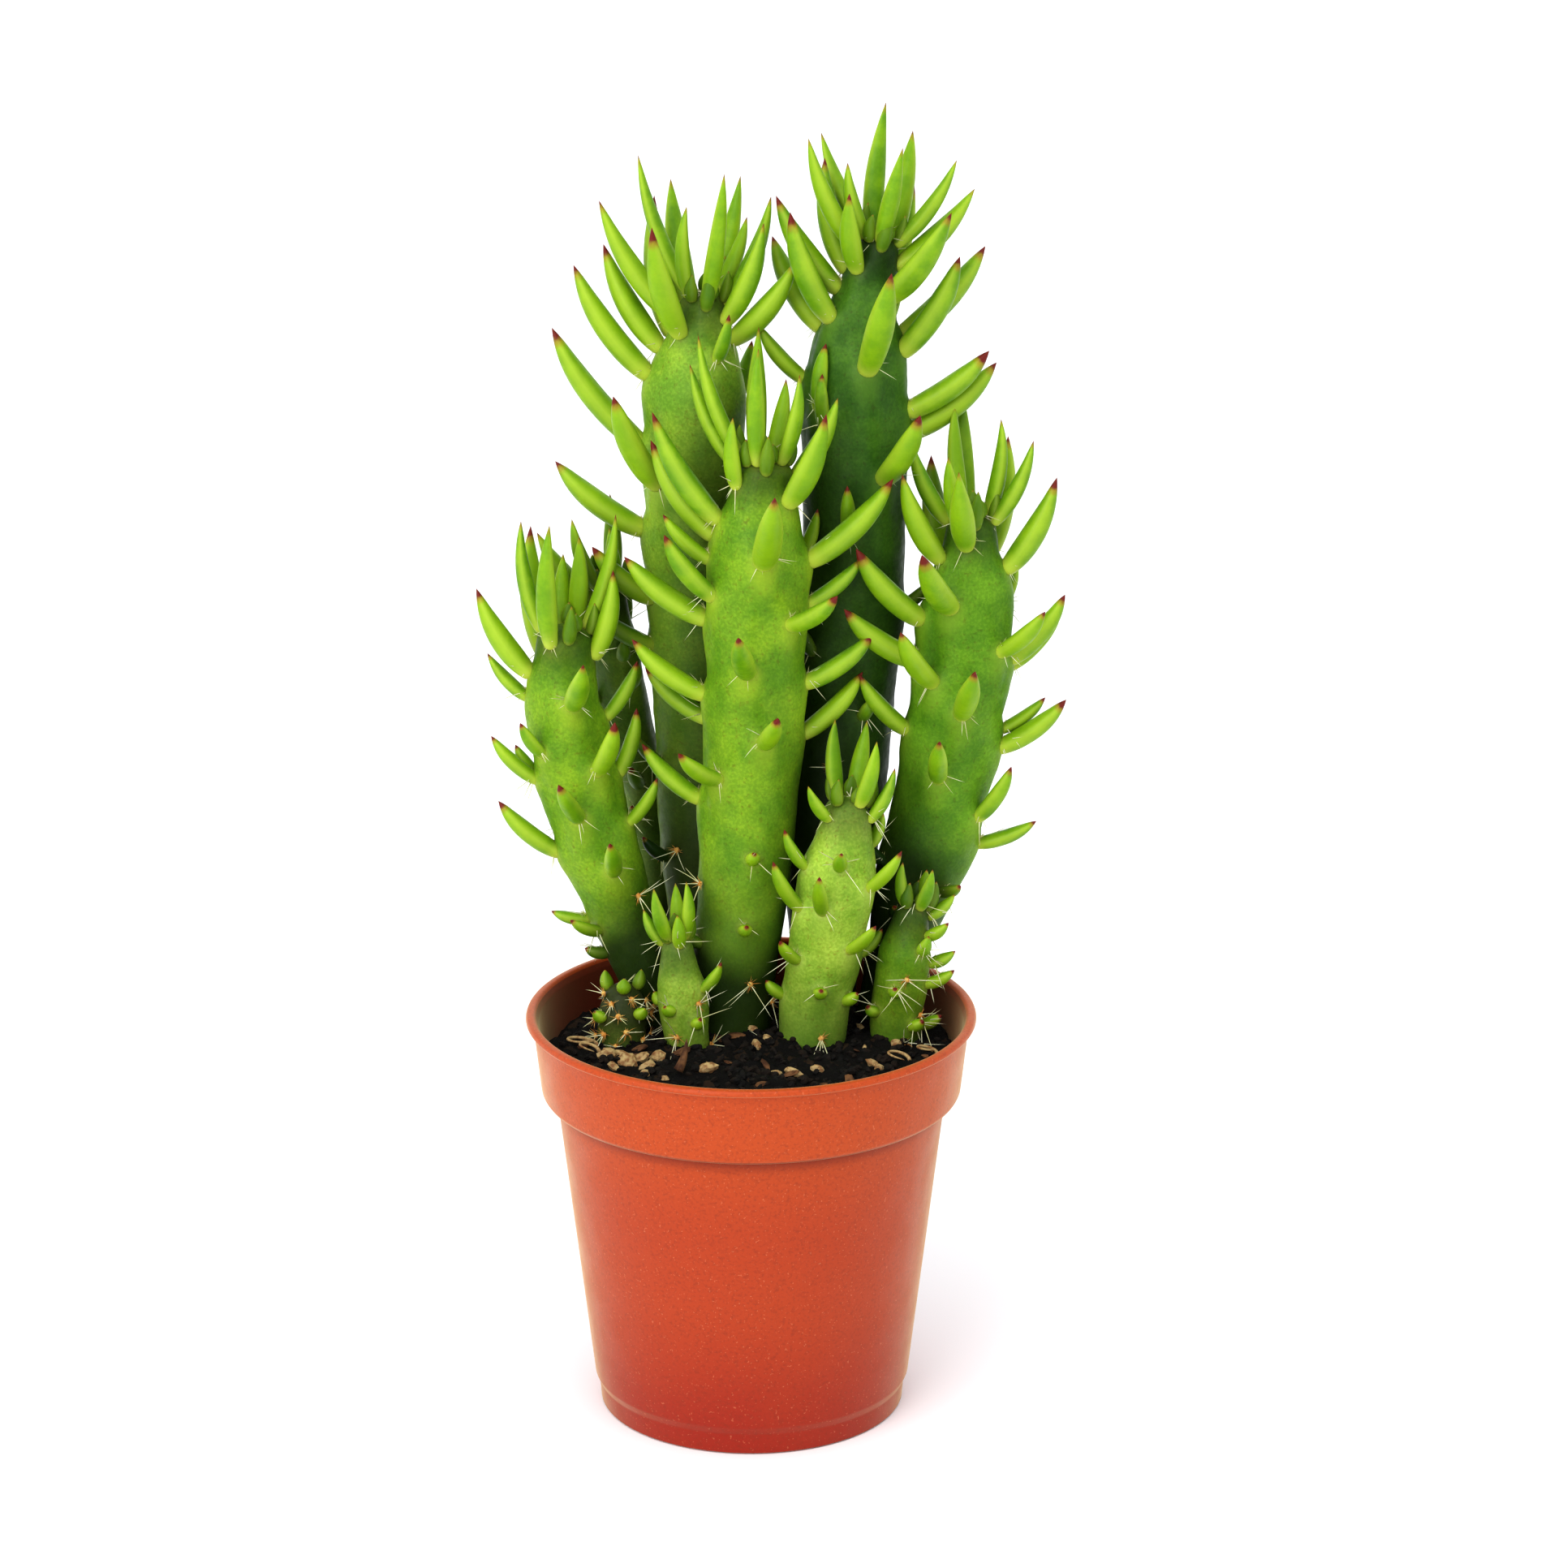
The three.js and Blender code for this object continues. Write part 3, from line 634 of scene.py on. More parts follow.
def leafGirth(along, age):
    # Share of the leaf's half width from its foot, 0, to its tip, 1; older leaves are blunter
    foot = 1 - (0.42 - 0.14 * age) * (1 - np.clip(along / 0.34, 0, 1)) ** 2.2
    tip = 1 - np.clip((along - 0.36) / 0.64, 0, 1) ** (1.95 + 0.75 * age)
    rounding = np.sqrt(1 - (1 - np.clip(along / 0.035, 0, 1)) ** 2)
    return foot * tip * rounding


def leafShape(name, stem, axis, leaf, rng, leafShadeMark=0.0, sides=18, steps=22):
    centre, right, front, up = frameAt(axis, leaf["drop"])
    out = outward(math.radians(leaf["bearing"]), right, front)
    side = np.cross(out, up)
    length = leaf["length"]
    width = plantBuild["leafWidth"]
    most = width["neck"] + (width["most"] - width["neck"]) * ease(leaf["drop"], 0, width["grown"])
    half = 0.5 * min(max(width["share"] * length, width["least"]), most)
    base = centre + out * (stemRadius(stem, axis, leaf["drop"]) - 0.5)
    age = float(ease(leaf["drop"], 8, 24))
    bend = plantBuild["leafBend"]
    start = math.radians(leaf["lift"] - bend / 2)
    curl = math.radians(bend) / length
    alongs = np.linspace(0, 1, steps + 1)[1:-1] ** 1.15
    alongs = np.concatenate([[0.004, 0.015], alongs, [0.985]])
    alongs = np.unique(np.round(alongs, 4))
    angles = np.linspace(0, 2 * math.pi, sides, endpoint=False)

    def placed(along, x, y):
        angle = start + curl * along * length
        away = (math.sin(angle) - math.sin(start)) / curl + y * math.sin(angle)
        upward = (math.cos(start) - math.cos(angle)) / curl - y * math.cos(angle)
        return base + out * away + up * upward + side * x

    rings, sheenAtEdges, shares = [], [], []
    waver = rng.uniform(-0.03, 0.03)
    for along in alongs:
        girth = half * float(leafGirth(along, age))
        ring = []
        for angle in angles:
            x = girth * math.cos(angle) * (1 + waver * math.sin(9 * along))
            y = girth * math.sin(angle)
            if y < 0:  # the face towards the stem is flatter
                y *= 0.74 + 0.2 * float(ease(along, 0.75, 1.0))
            ring.append(placed(along, x, y))
            # painted sheen: the leaf's two side edges are made lighter
            sheenAtEdges.append(abs(math.cos(angle)) ** 6)
            shares.append(along)
        rings.append(ring)
    blush = rng.uniform(0.55, 1.0) * (1 - 0.62 * (leaf["drop"] < 6)) * (0.7 + 0.3 * rng.random())
    tone = rng.uniform(0, 1)
    count = len(shares) + 2
    marks = {"along": np.array(shares + [0, 1]), "edgeSheen": np.array(sheenAtEdges + [0.5, 0.5]),
             "blush": np.full(count, blush), "tone": np.full(count, tone)}
    shape = skinOver(np.array(rings), placed(0, 0, 0), placed(1, 0, 0), marks)
    # Painted shade on leaves close behind other stems, plus the given extra
    marks["leafShadeMark"] = np.clip(shadeBehindStems(shape["verts"], name) + leafShadeMark, 0, 1)
    return shape


# Areoles: a tuft of wool at each leaf's foot, and fine pale spines

tuftLook = {"hairs": 15, "reach": 1.7, "thick": 0.075, "spineThick": 0.13}


def surfacePoint(stem, axis, drop, bearing, lift=0.0):
    centre, right, front, up = frameAt(axis, drop)
    out = outward(math.radians(bearing), right, front)
    side = np.cross(out, up)
    return centre + out * (stemRadius(stem, axis, drop) + lift), out, up, side


def tuftShape(point, out, up, side, size, rng, hairs=None):
    # A small woolly pad with short hairs all round
    pad = padShape(point, out, up, side, 0.62 * size, rng)
    shapes = [pad]
    for _ in range(hairs or tuftLook["hairs"]):
        turn = rng.uniform(0, 2 * math.pi)
        rise = rng.uniform(0.1, 1.1)
        direction = out * rise + up * math.sin(turn) + side * math.cos(turn)
        start = point + (up * math.sin(turn) + side * math.cos(turn)) * 0.4 * size
        length = tuftLook["reach"] * size * rng.uniform(0.6, 1.25)
        bend = rng.uniform(-0.3, 0.3)
        shapes.append(bristle(start, direction, length, tuftLook["thick"], bend, rng, 3, 3))
    return joined([{**shape, "marks": {}} for shape in shapes])


def padShape(point, out, up, side, size, rng):
    rings = []
    for level in (-0.4, 0.1, 0.55, 0.85):
        radius = size * math.sqrt(max(0.02, 1 - level * level))
        ring = []
        for k in range(9):
            turn = -k / 9 * 2 * math.pi
            wobble = 1 + 0.22 * rng.uniform(-1, 1)
            ring.append(point + out * level * size * 0.8
                        + (up * math.sin(turn) + side * math.cos(turn)) * radius * wobble)
        rings.append(ring)
    rings = np.array(rings)
    return skinOver(rings, point - out * size * 0.5, point + out * size * 0.85)


def spineFan(point, out, up, side, count, longest, rng):
    shapes = []
    for _ in range(count):
        turn = rng.uniform(0, 2 * math.pi)
        spread = rng.uniform(0.6, 2.4)
        direction = out + spread * (up * (math.sin(turn) * 0.9 - 0.25) + side * math.cos(turn))
        length = longest * rng.uniform(0.45, 1.0)
        bend = rng.uniform(-0.12, 0.12)
        shapes.append(bristle(point, direction, length, tuftLook["spineThick"], bend, rng))
    return shapes


# Plant materials

def makeMottleGroup():
    # Patchy skin colour: broad clouds and fine freckles between two colours
    group, start, end = newGroup(
        "skinMottle",
        [("Place", "NodeSocketVector", None), ("Dark", "NodeSocketColor", None),
         ("Light", "NodeSocketColor", None), ("Cloud Size", "NodeSocketFloat", 6.0),
         ("Freckles", "NodeSocketFloat", 0.4)],
        [("Color", "NodeSocketColor"), ("Height", "NodeSocketFloat")])
    scale = mathOf(group, "DIVIDE", 1000.0, start.outputs["Cloud Size"])
    clouds = nodeOf(group, "ShaderNodeTexNoise", {"Vector": start.outputs["Place"], "Scale": scale,
                                                  "Detail": 4.0, "Roughness": 0.6}).outputs["Fac"]
    fine = grainOf(group, start.outputs["Place"], 0.55, 2.0)
    share = rangeOf(group, clouds, 0.32, 0.68)
    base = mixOf(group, share, start.outputs["Dark"], start.outputs["Light"])
    freckle = rangeOf(group, fine, 0.4, 0.66)
    freckle = mathOf(group, "MULTIPLY", freckle, start.outputs["Freckles"])
    brighter = mixOf(group, 1.0, base, (1.42, 1.28, 1.6, 1), "MULTIPLY")
    duller = mixOf(group, 1.0, base, (0.92, 0.62, 0.6, 1), "MULTIPLY")
    pits = rangeOf(group, grainOf(group, start.outputs["Place"], 0.8, 2.0), 0.56, 0.7)
    colour = mixOf(group, mathOf(group, "MULTIPLY", pits, start.outputs["Freckles"]), base, duller)
    colour = mixOf(group, freckle, colour, brighter)
    link(group, colour, end.inputs["Color"])
    link(group, fine, end.inputs["Height"])
    return group


mottle = makeMottleGroup()

stemSkins = {
    # Dark and light patches, then the colours near the soil, on bulges and round areoles, and the painted shade
    # behind other stems, in the crown hollow and over the foot; "shaded" is a darker copy, painted shade for a
    # stem standing in shade
    "fresh": {"dark": rgb(90, 134, 20), "light": rgb(124, 160, 30), "low": rgb(116, 150, 52),
              "bulge": rgb(156, 180, 44), "halo": rgb(206, 204, 104), "deep": rgb(26, 44, 14)},
    "clear": {"dark": rgb(78, 124, 18), "light": rgb(104, 148, 28), "low": rgb(94, 130, 48),
              "bulge": rgb(130, 162, 40), "halo": rgb(196, 200, 100), "deep": rgb(22, 40, 12)},
    "young": {"dark": rgb(122, 160, 44), "light": rgb(158, 188, 66), "low": rgb(112, 150, 54),
              "bulge": rgb(172, 198, 80), "halo": rgb(214, 218, 130), "deep": rgb(40, 62, 20)},
    "shaded": {"dark": rgb(48, 88, 16), "light": rgb(72, 114, 24), "low": rgb(80, 116, 34),
               "bulge": rgb(92, 130, 36), "halo": rgb(150, 170, 84), "deep": rgb(18, 28, 10)},
    "knobby": {"dark": rgb(70, 100, 30), "light": rgb(110, 130, 48), "low": rgb(96, 104, 50),
               "bulge": rgb(130, 134, 60), "halo": rgb(190, 150, 84), "deep": rgb(40, 48, 20)},
    "bluish": {"dark": rgb(104, 146, 36), "light": rgb(140, 174, 50), "low": rgb(128, 144, 40),
               "bulge": rgb(146, 172, 56), "halo": rgb(196, 204, 112), "deep": rgb(24, 38, 12)},
}


def makeStemSkin(name, look):
    material, tree, shader = newMaterial(name + "Skin")
    where = place(tree)
    skin = placedGroup(tree, mottle, {"Place": where, "Dark": look["dark"], "Light": look["light"],
                                      "Cloud Size": 9.0, "Freckles": 0.75})
    height = mark(tree, "height")
    low = rangeOf(tree, height, 0.42, 0.05)
    colour = mixOf(tree, scaled(tree, low, 0.7), skin.outputs["Color"], look["low"])
    bulge = mark(tree, "bulge")
    ragged = scaled(tree, grainOf(tree, where, 3.0), 0.3)
    patch = rangeOf(tree, mathOf(tree, "ADD", bulge, ragged), 0.45, 1.1)
    colour = over(tree, colour, look["bulge"], patch, 0.6)
    colour = over(tree, colour, look["halo"], mark(tree, "halo"), 0.6)
    # Painted shade: dark green behind other stems, in the crown hollow and over the foot
    colour = over(tree, colour, look["deep"], mark(tree, "stemShadeMark"), 0.9)
    link(tree, colour, shader.inputs["Base Color"])
    rough = rangeOf(tree, grainOf(tree, where, 2.0), 0.3, 0.7, 0.42, 0.6)
    link(tree, rough, shader.inputs["Roughness"])
    setSockets(shader, {"Specular IOR Level": 0.2, "Subsurface Weight": 0.12,
                        "Subsurface Radius": (0.4, 1.0, 0.15), "Subsurface Scale": 0.0015})
    coarse = scaled(tree, grainOf(tree, where, 1.6), 1.4)
    grainHeight = mathOf(tree, "ADD", skin.outputs["Height"], coarse)
    link(tree, bumpOf(tree, grainHeight, 0.35, 0.12), shader.inputs["Normal"])
    return material


leafLook = {
    "foot": rgb(208, 214, 90), "low": rgb(150, 184, 24), "body": rgb(104, 152, 12), "high": rgb(74, 126, 10),
    "edgeSheen": rgb(176, 198, 62), "tip": rgb(112, 32, 22), "tipEdge": rgb(156, 120, 34), "leafShadeMark": rgb(34, 62, 14),
}


def makeLeafSkin():
    material, tree, shader = newMaterial("leafSkin")
    look = leafLook
    where = place(tree)
    along = mark(tree, "along")
    tone = mark(tree, "tone")
    skin = placedGroup(tree, mottle, {"Place": where, "Dark": look["high"], "Light": look["low"],
                                      "Cloud Size": 5.0, "Freckles": 0.3})
    colour = mixOf(tree, 0.55, skin.outputs["Color"], look["body"])
    colour = over(tree, colour, look["low"], tone, 0.55)
    foot = rangeOf(tree, along, 0.22, 0.0)
    colour = over(tree, colour, look["foot"], foot, 0.75)
    # Painted sheen: lighter colour along the leaf's two side edges
    edgeSheen = scaled(tree, mark(tree, "edgeSheen"), 0.6)
    colour = mixOf(tree, edgeSheen, colour, look["edgeSheen"])
    # Painted shade: leaves behind other stems and the buds in the crown turn dark green
    leafShadeMark = mark(tree, "leafShadeMark")
    colour = mixOf(tree, leafShadeMark, colour, look["leafShadeMark"])
    # The tip turns dark red, further down on leaves with more blush
    blush = mark(tree, "blush")
    ragged = scaled(tree, mathOf(tree, "SUBTRACT", grainOf(tree, where, 0.9), 0.5), 0.05)
    reach = mathOf(tree, "ADD", scaled(tree, blush, 0.13), ragged)
    level = mathOf(tree, "ADD", along, reach)
    edge = scaled(tree, rangeOf(tree, level, 0.93, 1.0), 0.7)
    colour = mixOf(tree, edge, colour, look["tipEdge"])
    colour = mixOf(tree, rangeOf(tree, level, 0.985, 1.03), colour, look["tip"])
    link(tree, colour, shader.inputs["Base Color"])
    link(tree, rangeOf(tree, grainOf(tree, where, 1.5), 0.3, 0.7, 0.34, 0.5), shader.inputs["Roughness"])
    setSockets(shader, {"Specular IOR Level": 0.25, "Subsurface Weight": 0.2,
                        "Subsurface Radius": (0.6, 1.0, 0.15), "Subsurface Scale": 0.002})
    coarse = scaled(tree, grainOf(tree, where, 2.2), 1.2)
    height = mathOf(tree, "ADD", skin.outputs["Height"], coarse)
    link(tree, bumpOf(tree, height, 0.3, 0.1), shader.inputs["Normal"])
    return material


def makeFibreMaterial(name, pale, warm, size, rough):
    # Wool, spines and dry bits: pale fibres with warmer patches
    material, tree, shader = newMaterial(name)
    where = place(tree)
    patch = rangeOf(tree, grainOf(tree, where, size), 0.4, 0.65)
    link(tree, mixOf(tree, patch, pale, warm), shader.inputs["Base Color"])
    roughness = rangeOf(tree, grainOf(tree, where, 0.8), 0.3, 0.7, rough - 0.1, rough + 0.1)
    link(tree, roughness, shader.inputs["Roughness"])
    shader.inputs["Specular IOR Level"].default_value = 0.3
    link(tree, bumpOf(tree, grainOf(tree, where, 0.3), 0.5, 0.08), shader.inputs["Normal"])
    return material


leafSkin = makeLeafSkin()
wool = makeFibreMaterial("areoleWool", rgb(222, 220, 150), rgb(236, 226, 178), 2.0, 0.85)
oldWool = makeFibreMaterial("oldAreoleWool", rgb(204, 140, 66), rgb(226, 190, 110), 1.2, 0.9)
spineHorn = makeFibreMaterial("spineHorn", rgb(236, 234, 200), rgb(206, 204, 150), 4.0, 0.5)


def makeStem(name, stem):
    rng = np.random.default_rng(stem["seed"])
    axis = stemAxis(stem)
    leaves = leavesOf(stem, axis)
    skin = makeStemSkin(name, stemSkins[stem["skin"]])
    body = makeObject(name + "_stem", stemShape(name, stem, axis, leaves), skin)
    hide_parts(name)
    small = []
    for i, leaf in enumerate(leaves):
        shape = leafShape(name, stem, axis, leaf, rng)
        if i < stem["loose"]:
            piece = makeObject(f"{name}_needle_{i + 1}", shape, leafSkin)
            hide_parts(f"{name}_leaf_{i + 1}")
        else:
            small.append(shape)
    for k in range(stem["buds"]):
        # the youngest leaves stand close round the tip
        bud = {"drop": 0.5 + 0.35 * k, "bearing": 40 + 137.5 * k,
               "length": 3.5 + 0.9 * k, "lift": 86 - 1.5 * k}
        # the buds take painted shade, as deep in the crown
        small.append(leafShape(name, stem, axis, bud, rng, leafShadeMark=0.45, sides=10, steps=10))
    if small:
        makeObject(name + "_small_leaves", joined(small), leafSkin)
    tufts, spines = [], []
    for leaf in leaves:
        size = min(1.0, 0.55 + leaf["length"] / 50)
        above = surfacePoint(stem, axis, leaf["drop"] - 1.6 * size, leaf["bearing"], 0.35)
        if leaf["drop"] > 2:
            tufts.append(tuftShape(*above, size, rng))
        count = int(rng.integers(*stem["spines"]))
        spines += spineFan(*above, count, stem["longestSpine"], rng)
    makeObject(name + "_wool", joined(tufts), wool)
    old = []
    for drop, bearing in stem["bare"]:
        spot = surfacePoint(stem, axis, drop, bearing, 0.3)
        old.append(tuftShape(*spot, 0.95, rng, 12))
        spines += spineFan(*spot, 4, stem["longestSpine"] * 1.2, rng)
    if old:
        makeObject(name + "_old_areoles", joined(old), oldWool)
    if spines:
        makeObject(name + "_spines", joined([{**s, "marks": {}} for s in spines]), spineHorn)


cores = stemCores()
for stemName, stemForm in plantStems.items():
    makeStem(stemName, stemForm)
    print("made", stemName)


# Pot

potForm = {
    "height": 78, "footRadius": 28.9, "stepRadius": 30, "stepHeight": 5.6, "shoulderRadius": 36.8,
    "shoulderHeight": 62.2, "collarRadius": 39.6, "collarHeight": 63.2, "collarTopRadius": 41.1,
    "collarTopHeight": 76.4, "lipRadius": 42.5, "mouthRadius": 40.6, "wall": 1.1, "floor": 1.6, "roll": 0.9,
    "drainRadius": 3.4, "drainRing": 17, "drains": 4, "sides": 192,
}
potLook = {
    "high": rgb(182, 74, 24), "mid": rgb(172, 62, 22), "low": rgb(154, 36, 14), "collarShadow": rgb(120, 30, 10),
    "speckle": rgb(120, 40, 18), "scuff": rgb(222, 140, 100),
    "insideBrown": rgb(112, 40, 24), "insideRed": rgb(122, 28, 18),
}


def softened(points, radius):
    # The outline with each corner rounded, as points
    points = [np.array(p, float) for p in points]
    result = [points[0]]
    for before, corner, after in zip(points, points[1:], points[2:]):
        toBefore, toAfter = before - corner, after - corner
        a = corner + toBefore * min(0.45, radius / np.linalg.norm(toBefore))
        b = corner + toAfter * min(0.45, radius / np.linalg.norm(toAfter))
        for share in (0, 0.25, 0.5, 0.75, 1):
            result.append((1 - share) ** 2 * a + 2 * share * (1 - share) * corner + share ** 2 * b)
    return result + [points[-1]]


def finer(points, longest):
    # The outline with no step longer than `longest`
    result = [points[0]]
    for a, b in zip(points, points[1:]):
        steps = max(1, int(np.linalg.norm(b - a) / longest))
        result += [a + (b - a) * (k + 1) / steps for k in range(steps)]
    return result


def makePotPlastic():
    material, tree, shader = newMaterial("potPlastic")
    look = potLook
    where = place(tree)
    height = mark(tree, "level")
    # Painted shade: the plastic darker towards the foot and lighter towards the collar
    colour = mixOf(tree, rangeOf(tree, height, 0.02, 0.42), look["low"], look["mid"])
    colour = mixOf(tree, rangeOf(tree, height, 0.55, 0.85), colour, look["high"])
    cloud = rangeOf(tree, grainOf(tree, where, 22.0, 3.0), 0.35, 0.7)
    colour = over(tree, colour, look["high"], cloud, 0.12)
    speckle = rangeOf(tree, grainOf(tree, where, 0.6, 2.0), 0.45, 0.75)
    colour = over(tree, colour, look["speckle"], speckle, 0.35)
    dust = rangeOf(tree, grainOf(tree, where, 0.45, 1.0), 0.66, 0.74)
    colour = over(tree, colour, look["scuff"], dust, 0.3)
    # Painted shadow: a dark band on the body just under the collar
    colour = over(tree, colour, look["collarShadow"], mark(tree, "collarShadow"), 0.75)
    # The inner wall darker and browner, in patches
    inside = mark(tree, "inside")
    insidePatch = rangeOf(tree, grainOf(tree, where, 9.0, 4.0), 0.3, 0.6)
    inner = mixOf(tree, insidePatch, look["insideRed"], look["insideBrown"])
    colour = over(tree, colour, inner, inside, 0.85)
    link(tree, colour, shader.inputs["Base Color"])
    rough = rangeOf(tree, grainOf(tree, where, 6.0, 4.0), 0.3, 0.7, 0.36, 0.48)
    link(tree, rough, shader.inputs["Roughness"])
    setSockets(shader, {"Specular IOR Level": 0.3, "Sheen Weight": 0.6, "Sheen Roughness": 0.35,
                        "Sheen Tint": (1.0, 0.9, 0.5, 1)})
    link(tree, bumpOf(tree, grainOf(tree, where, 0.5, 3.0), 0.12, 0.06), shader.inputs["Normal"])
    return material


def makePot():
    f = potForm
    inset = f["wall"]
    outside = [
        (0, 0), (f["footRadius"], 0), (f["footRadius"] + 0.3, f["stepHeight"] - 1.6),
        (f["stepRadius"], f["stepHeight"]), (f["shoulderRadius"], f["shoulderHeight"]),
        (f["collarRadius"] - 0.5, f["collarHeight"] - 0.7), (f["collarRadius"], f["collarHeight"]),
        (f["collarTopRadius"], f["collarTopHeight"]),
    ]
    edge, mouth, top, roll = f["lipRadius"], f["mouthRadius"], f["height"], f["roll"]
    lip = [
        (edge - 0.3 * roll, top - 1.4 * roll), (edge, top - roll), (edge - 0.3 * roll, top - 0.2 * roll),
        (edge - roll, top), (mouth + 0.4 * roll, top), (mouth, top - 0.4 * roll),
    ]
    inside = [
        (f["collarTopRadius"] - inset, f["collarTopHeight"]),
        (f["collarRadius"] - inset, f["collarHeight"] + inset),
        (f["shoulderRadius"] - inset, f["shoulderHeight"] + inset),
        (f["stepRadius"] - inset, f["stepHeight"] + inset),
        (f["footRadius"] - inset, f["floor"]), (0, f["floor"]),
    ]
    outline = finer(softened(outside + lip + inside, 0.3), 2.5)[1:-1]
    firstInner = max(i for i, p in enumerate(outline) if p[1] > f["height"] - 0.8)
    rings = turnedRings(outline, f["sides"])
    level = np.repeat([p[1] / f["height"] for p in outline], f["sides"])
    inner = np.repeat([float(i >= firstInner) for i in range(len(outline))], f["sides"])
    # the band of painted shadow just under the collar
    under = [f["shoulderHeight"] - 0.5 < p[1] < f["collarHeight"] - 0.3 for p in outline]
    collarShadow = np.repeat(np.array(under, float), f["sides"])
    marks = {"level": np.append(level, [0, 0]), "inside": np.append(inner, [0, 1]),
             "collarShadow": np.append(collarShadow, [0, 0])}
    shape = skinOver(rings, (0, 0, 0), (0, 0, f["floor"]), marks)
    pot = makeObject("nursery_pot", shape, makePotPlastic())
    cutDrains(pot)
    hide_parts("pot")


def cutDrains(pot):
    f = potForm
    shapes = []
    for k in range(f["drains"]):
        turn = (k + 0.5) / f["drains"] * 2 * math.pi
        centre = np.array([f["drainRing"] * math.cos(turn), f["drainRing"] * math.sin(turn), 0])
        rings = turnedRings([(f["drainRadius"], -2), (f["drainRadius"], 5)], 40) + centre
        shapes.append(skinOver(rings, centre + (0, 0, -2), centre + (0, 0, 5)))
    cutter = makeObject("drainCutter", joined(shapes), pot.data.materials[0])
    cut = pot.modifiers.new("drains", "BOOLEAN")
    cut.object = cutter
    cut.solver = "EXACT"
    bpy.context.view_layer.update()
    finished = bpy.data.meshes.new_from_object(pot.evaluated_get(bpy.context.evaluated_depsgraph_get()))
    pot.modifiers.clear()
    pot.data = finished
    bpy.data.objects.remove(cutter)


makePot()
print("made pot")


# Soil

soilForm = {"level": 70, "rise": 1.5, "lump": 0.6, "rough": 1.0, "radius": 38.9, "sides": 150, "rings": 62}
soilLook = {"dark": rgb(9, 7, 5), "mid": rgb(20, 15, 10), "light": rgb(60, 42, 26)}


def soilHeight(x, y):
    out = math.hypot(x, y) / potForm["shoulderRadius"]
    lumps = math.sin(0.31 * x + 0.9) * math.cos(0.27 * y - 0.4) + 0.5 * math.sin(0.62 * y + 0.2 * x)
    return soilForm["level"] + soilForm["rise"] * (1 - out * out) + soilForm["lump"] * lumps


def groundAt(x, y):
    # The rough surface that shows
    point = Vector((x, y, 0))
    rough = (noise.noise(point * 0.45) + 0.6 * noise.noise(point * 1.1 + Vector((7, 3, 0)))
             + 0.3 * abs(noise.noise(point * 2.3)))
    return soilHeight(x, y) + soilForm["rough"] * rough


def makeSoilMaterial():
    material, tree, shader = newMaterial("pottingSoil")
    look = soilLook
    where = place(tree)
    clumps = rangeOf(tree, grainOf(tree, where, 2.4, 5.0, 0.7), 0.35, 0.68)
    colour = mixOf(tree, clumps, look["dark"], look["mid"])
    bits = nodeOf(tree, "ShaderNodeTexVoronoi", {"Vector": where, "Scale": 620.0}, feature="F1")
    pale = rangeOf(tree, bits.outputs["Color"], 0.80, 0.86)
    colour = over(tree, colour, look["light"], pale, 0.7)
    link(tree, colour, shader.inputs["Base Color"])
    link(tree, rangeOf(tree, clumps, 0.0, 1.0, 0.72, 0.95), shader.inputs["Roughness"])
    shader.inputs["Specular IOR Level"].default_value = 0.2
    grit = scaled(tree, bits.outputs["Distance"], 0.8)
    height = mathOf(tree, "ADD", grainOf(tree, where, 0.9, 5.0, 0.75), grit)
    link(tree, bumpOf(tree, height, 0.9, 0.7), shader.inputs["Normal"])
    return material


def makeSoil():
    f, pot = soilForm, potForm
    gap = 0.3
    inset = pot["wall"] + gap
    radii = np.linspace(f["radius"] - 0.4, 0.6, f["rings"])
    angles = np.linspace(0, 2 * math.pi, f["sides"], endpoint=False)
    walls = [
        (pot["footRadius"] - inset, pot["floor"] + gap),
        (pot["stepRadius"] - inset, pot["stepHeight"] + pot["wall"]),
        (pot["shoulderRadius"] - inset, pot["shoulderHeight"] + inset),
        (pot["collarRadius"] - inset, pot["collarHeight"] + inset),
    ]
    side = turnedRings(walls, f["sides"])
    top = []
    for radius in radii:
        spots = [(radius * math.cos(angle), radius * math.sin(angle)) for angle in angles]
        top.append([(x, y, groundAt(x, y)) for x, y in spots])
    top = np.array(top)
    top[0, :, 2] -= 0.6  # the edge sinks a little at the wall
    shape = skinOver(np.concatenate([side, top]), (0, 0, pot["floor"] + gap), (0, 0, groundAt(0, 0)))
    soil = makeObject("potting_soil", shape, makeSoilMaterial())
    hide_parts("soil")


def crumbShape(centre, size, flat, rng):
    # An uneven little lump
    rings = []
    turned = rng.uniform(0, math.pi)
    tilt = rng.uniform(-0.5, 0.5)
    stretch = rng.uniform(0.7, 1.5)
    for level in (-0.75, -0.2, 0.35, 0.8):
        radius = math.sqrt(1 - level * level)
        ring = []
        for k in range(7):
            angle = k / 7 * 2 * math.pi
            wobble = radius * rng.uniform(0.72, 1.2)
            x, y = wobble * math.cos(angle) * stretch, wobble * math.sin(angle) / stretch
            z = level * flat + tilt * x
            ring.append(centre + size * np.array([x * math.cos(turned) - y * math.sin(turned),
                                                  x * math.sin(turned) + y * math.cos(turned), z]))
        rings.append(ring)
    half = np.array([0, 0, size * flat])
    return skinOver(np.array(rings), centre - half, centre + half)


def scatter(name, count, sizes, flat, material, seed, spots=None):
    # Bits lying on the soil, clear of the pot's wall
    rng = np.random.default_rng(seed)
    shapes = []
    places = list(spots or [])
    while len(places) < count:
        x, y = rng.uniform(-36, 36, 2)
        if math.hypot(x, y) < 35.5:
            places.append((x, y, rng.uniform(*sizes)))
    for x, y, size in places:
        centre = np.array([x, y, groundAt(x, y) + 0.25 * size])
        shapes.append(crumbShape(centre, size, flat, rng))
    piece = makeObject(name, joined(shapes), material)
    for face in piece.data.polygons:
        face.use_smooth = False
    return piece


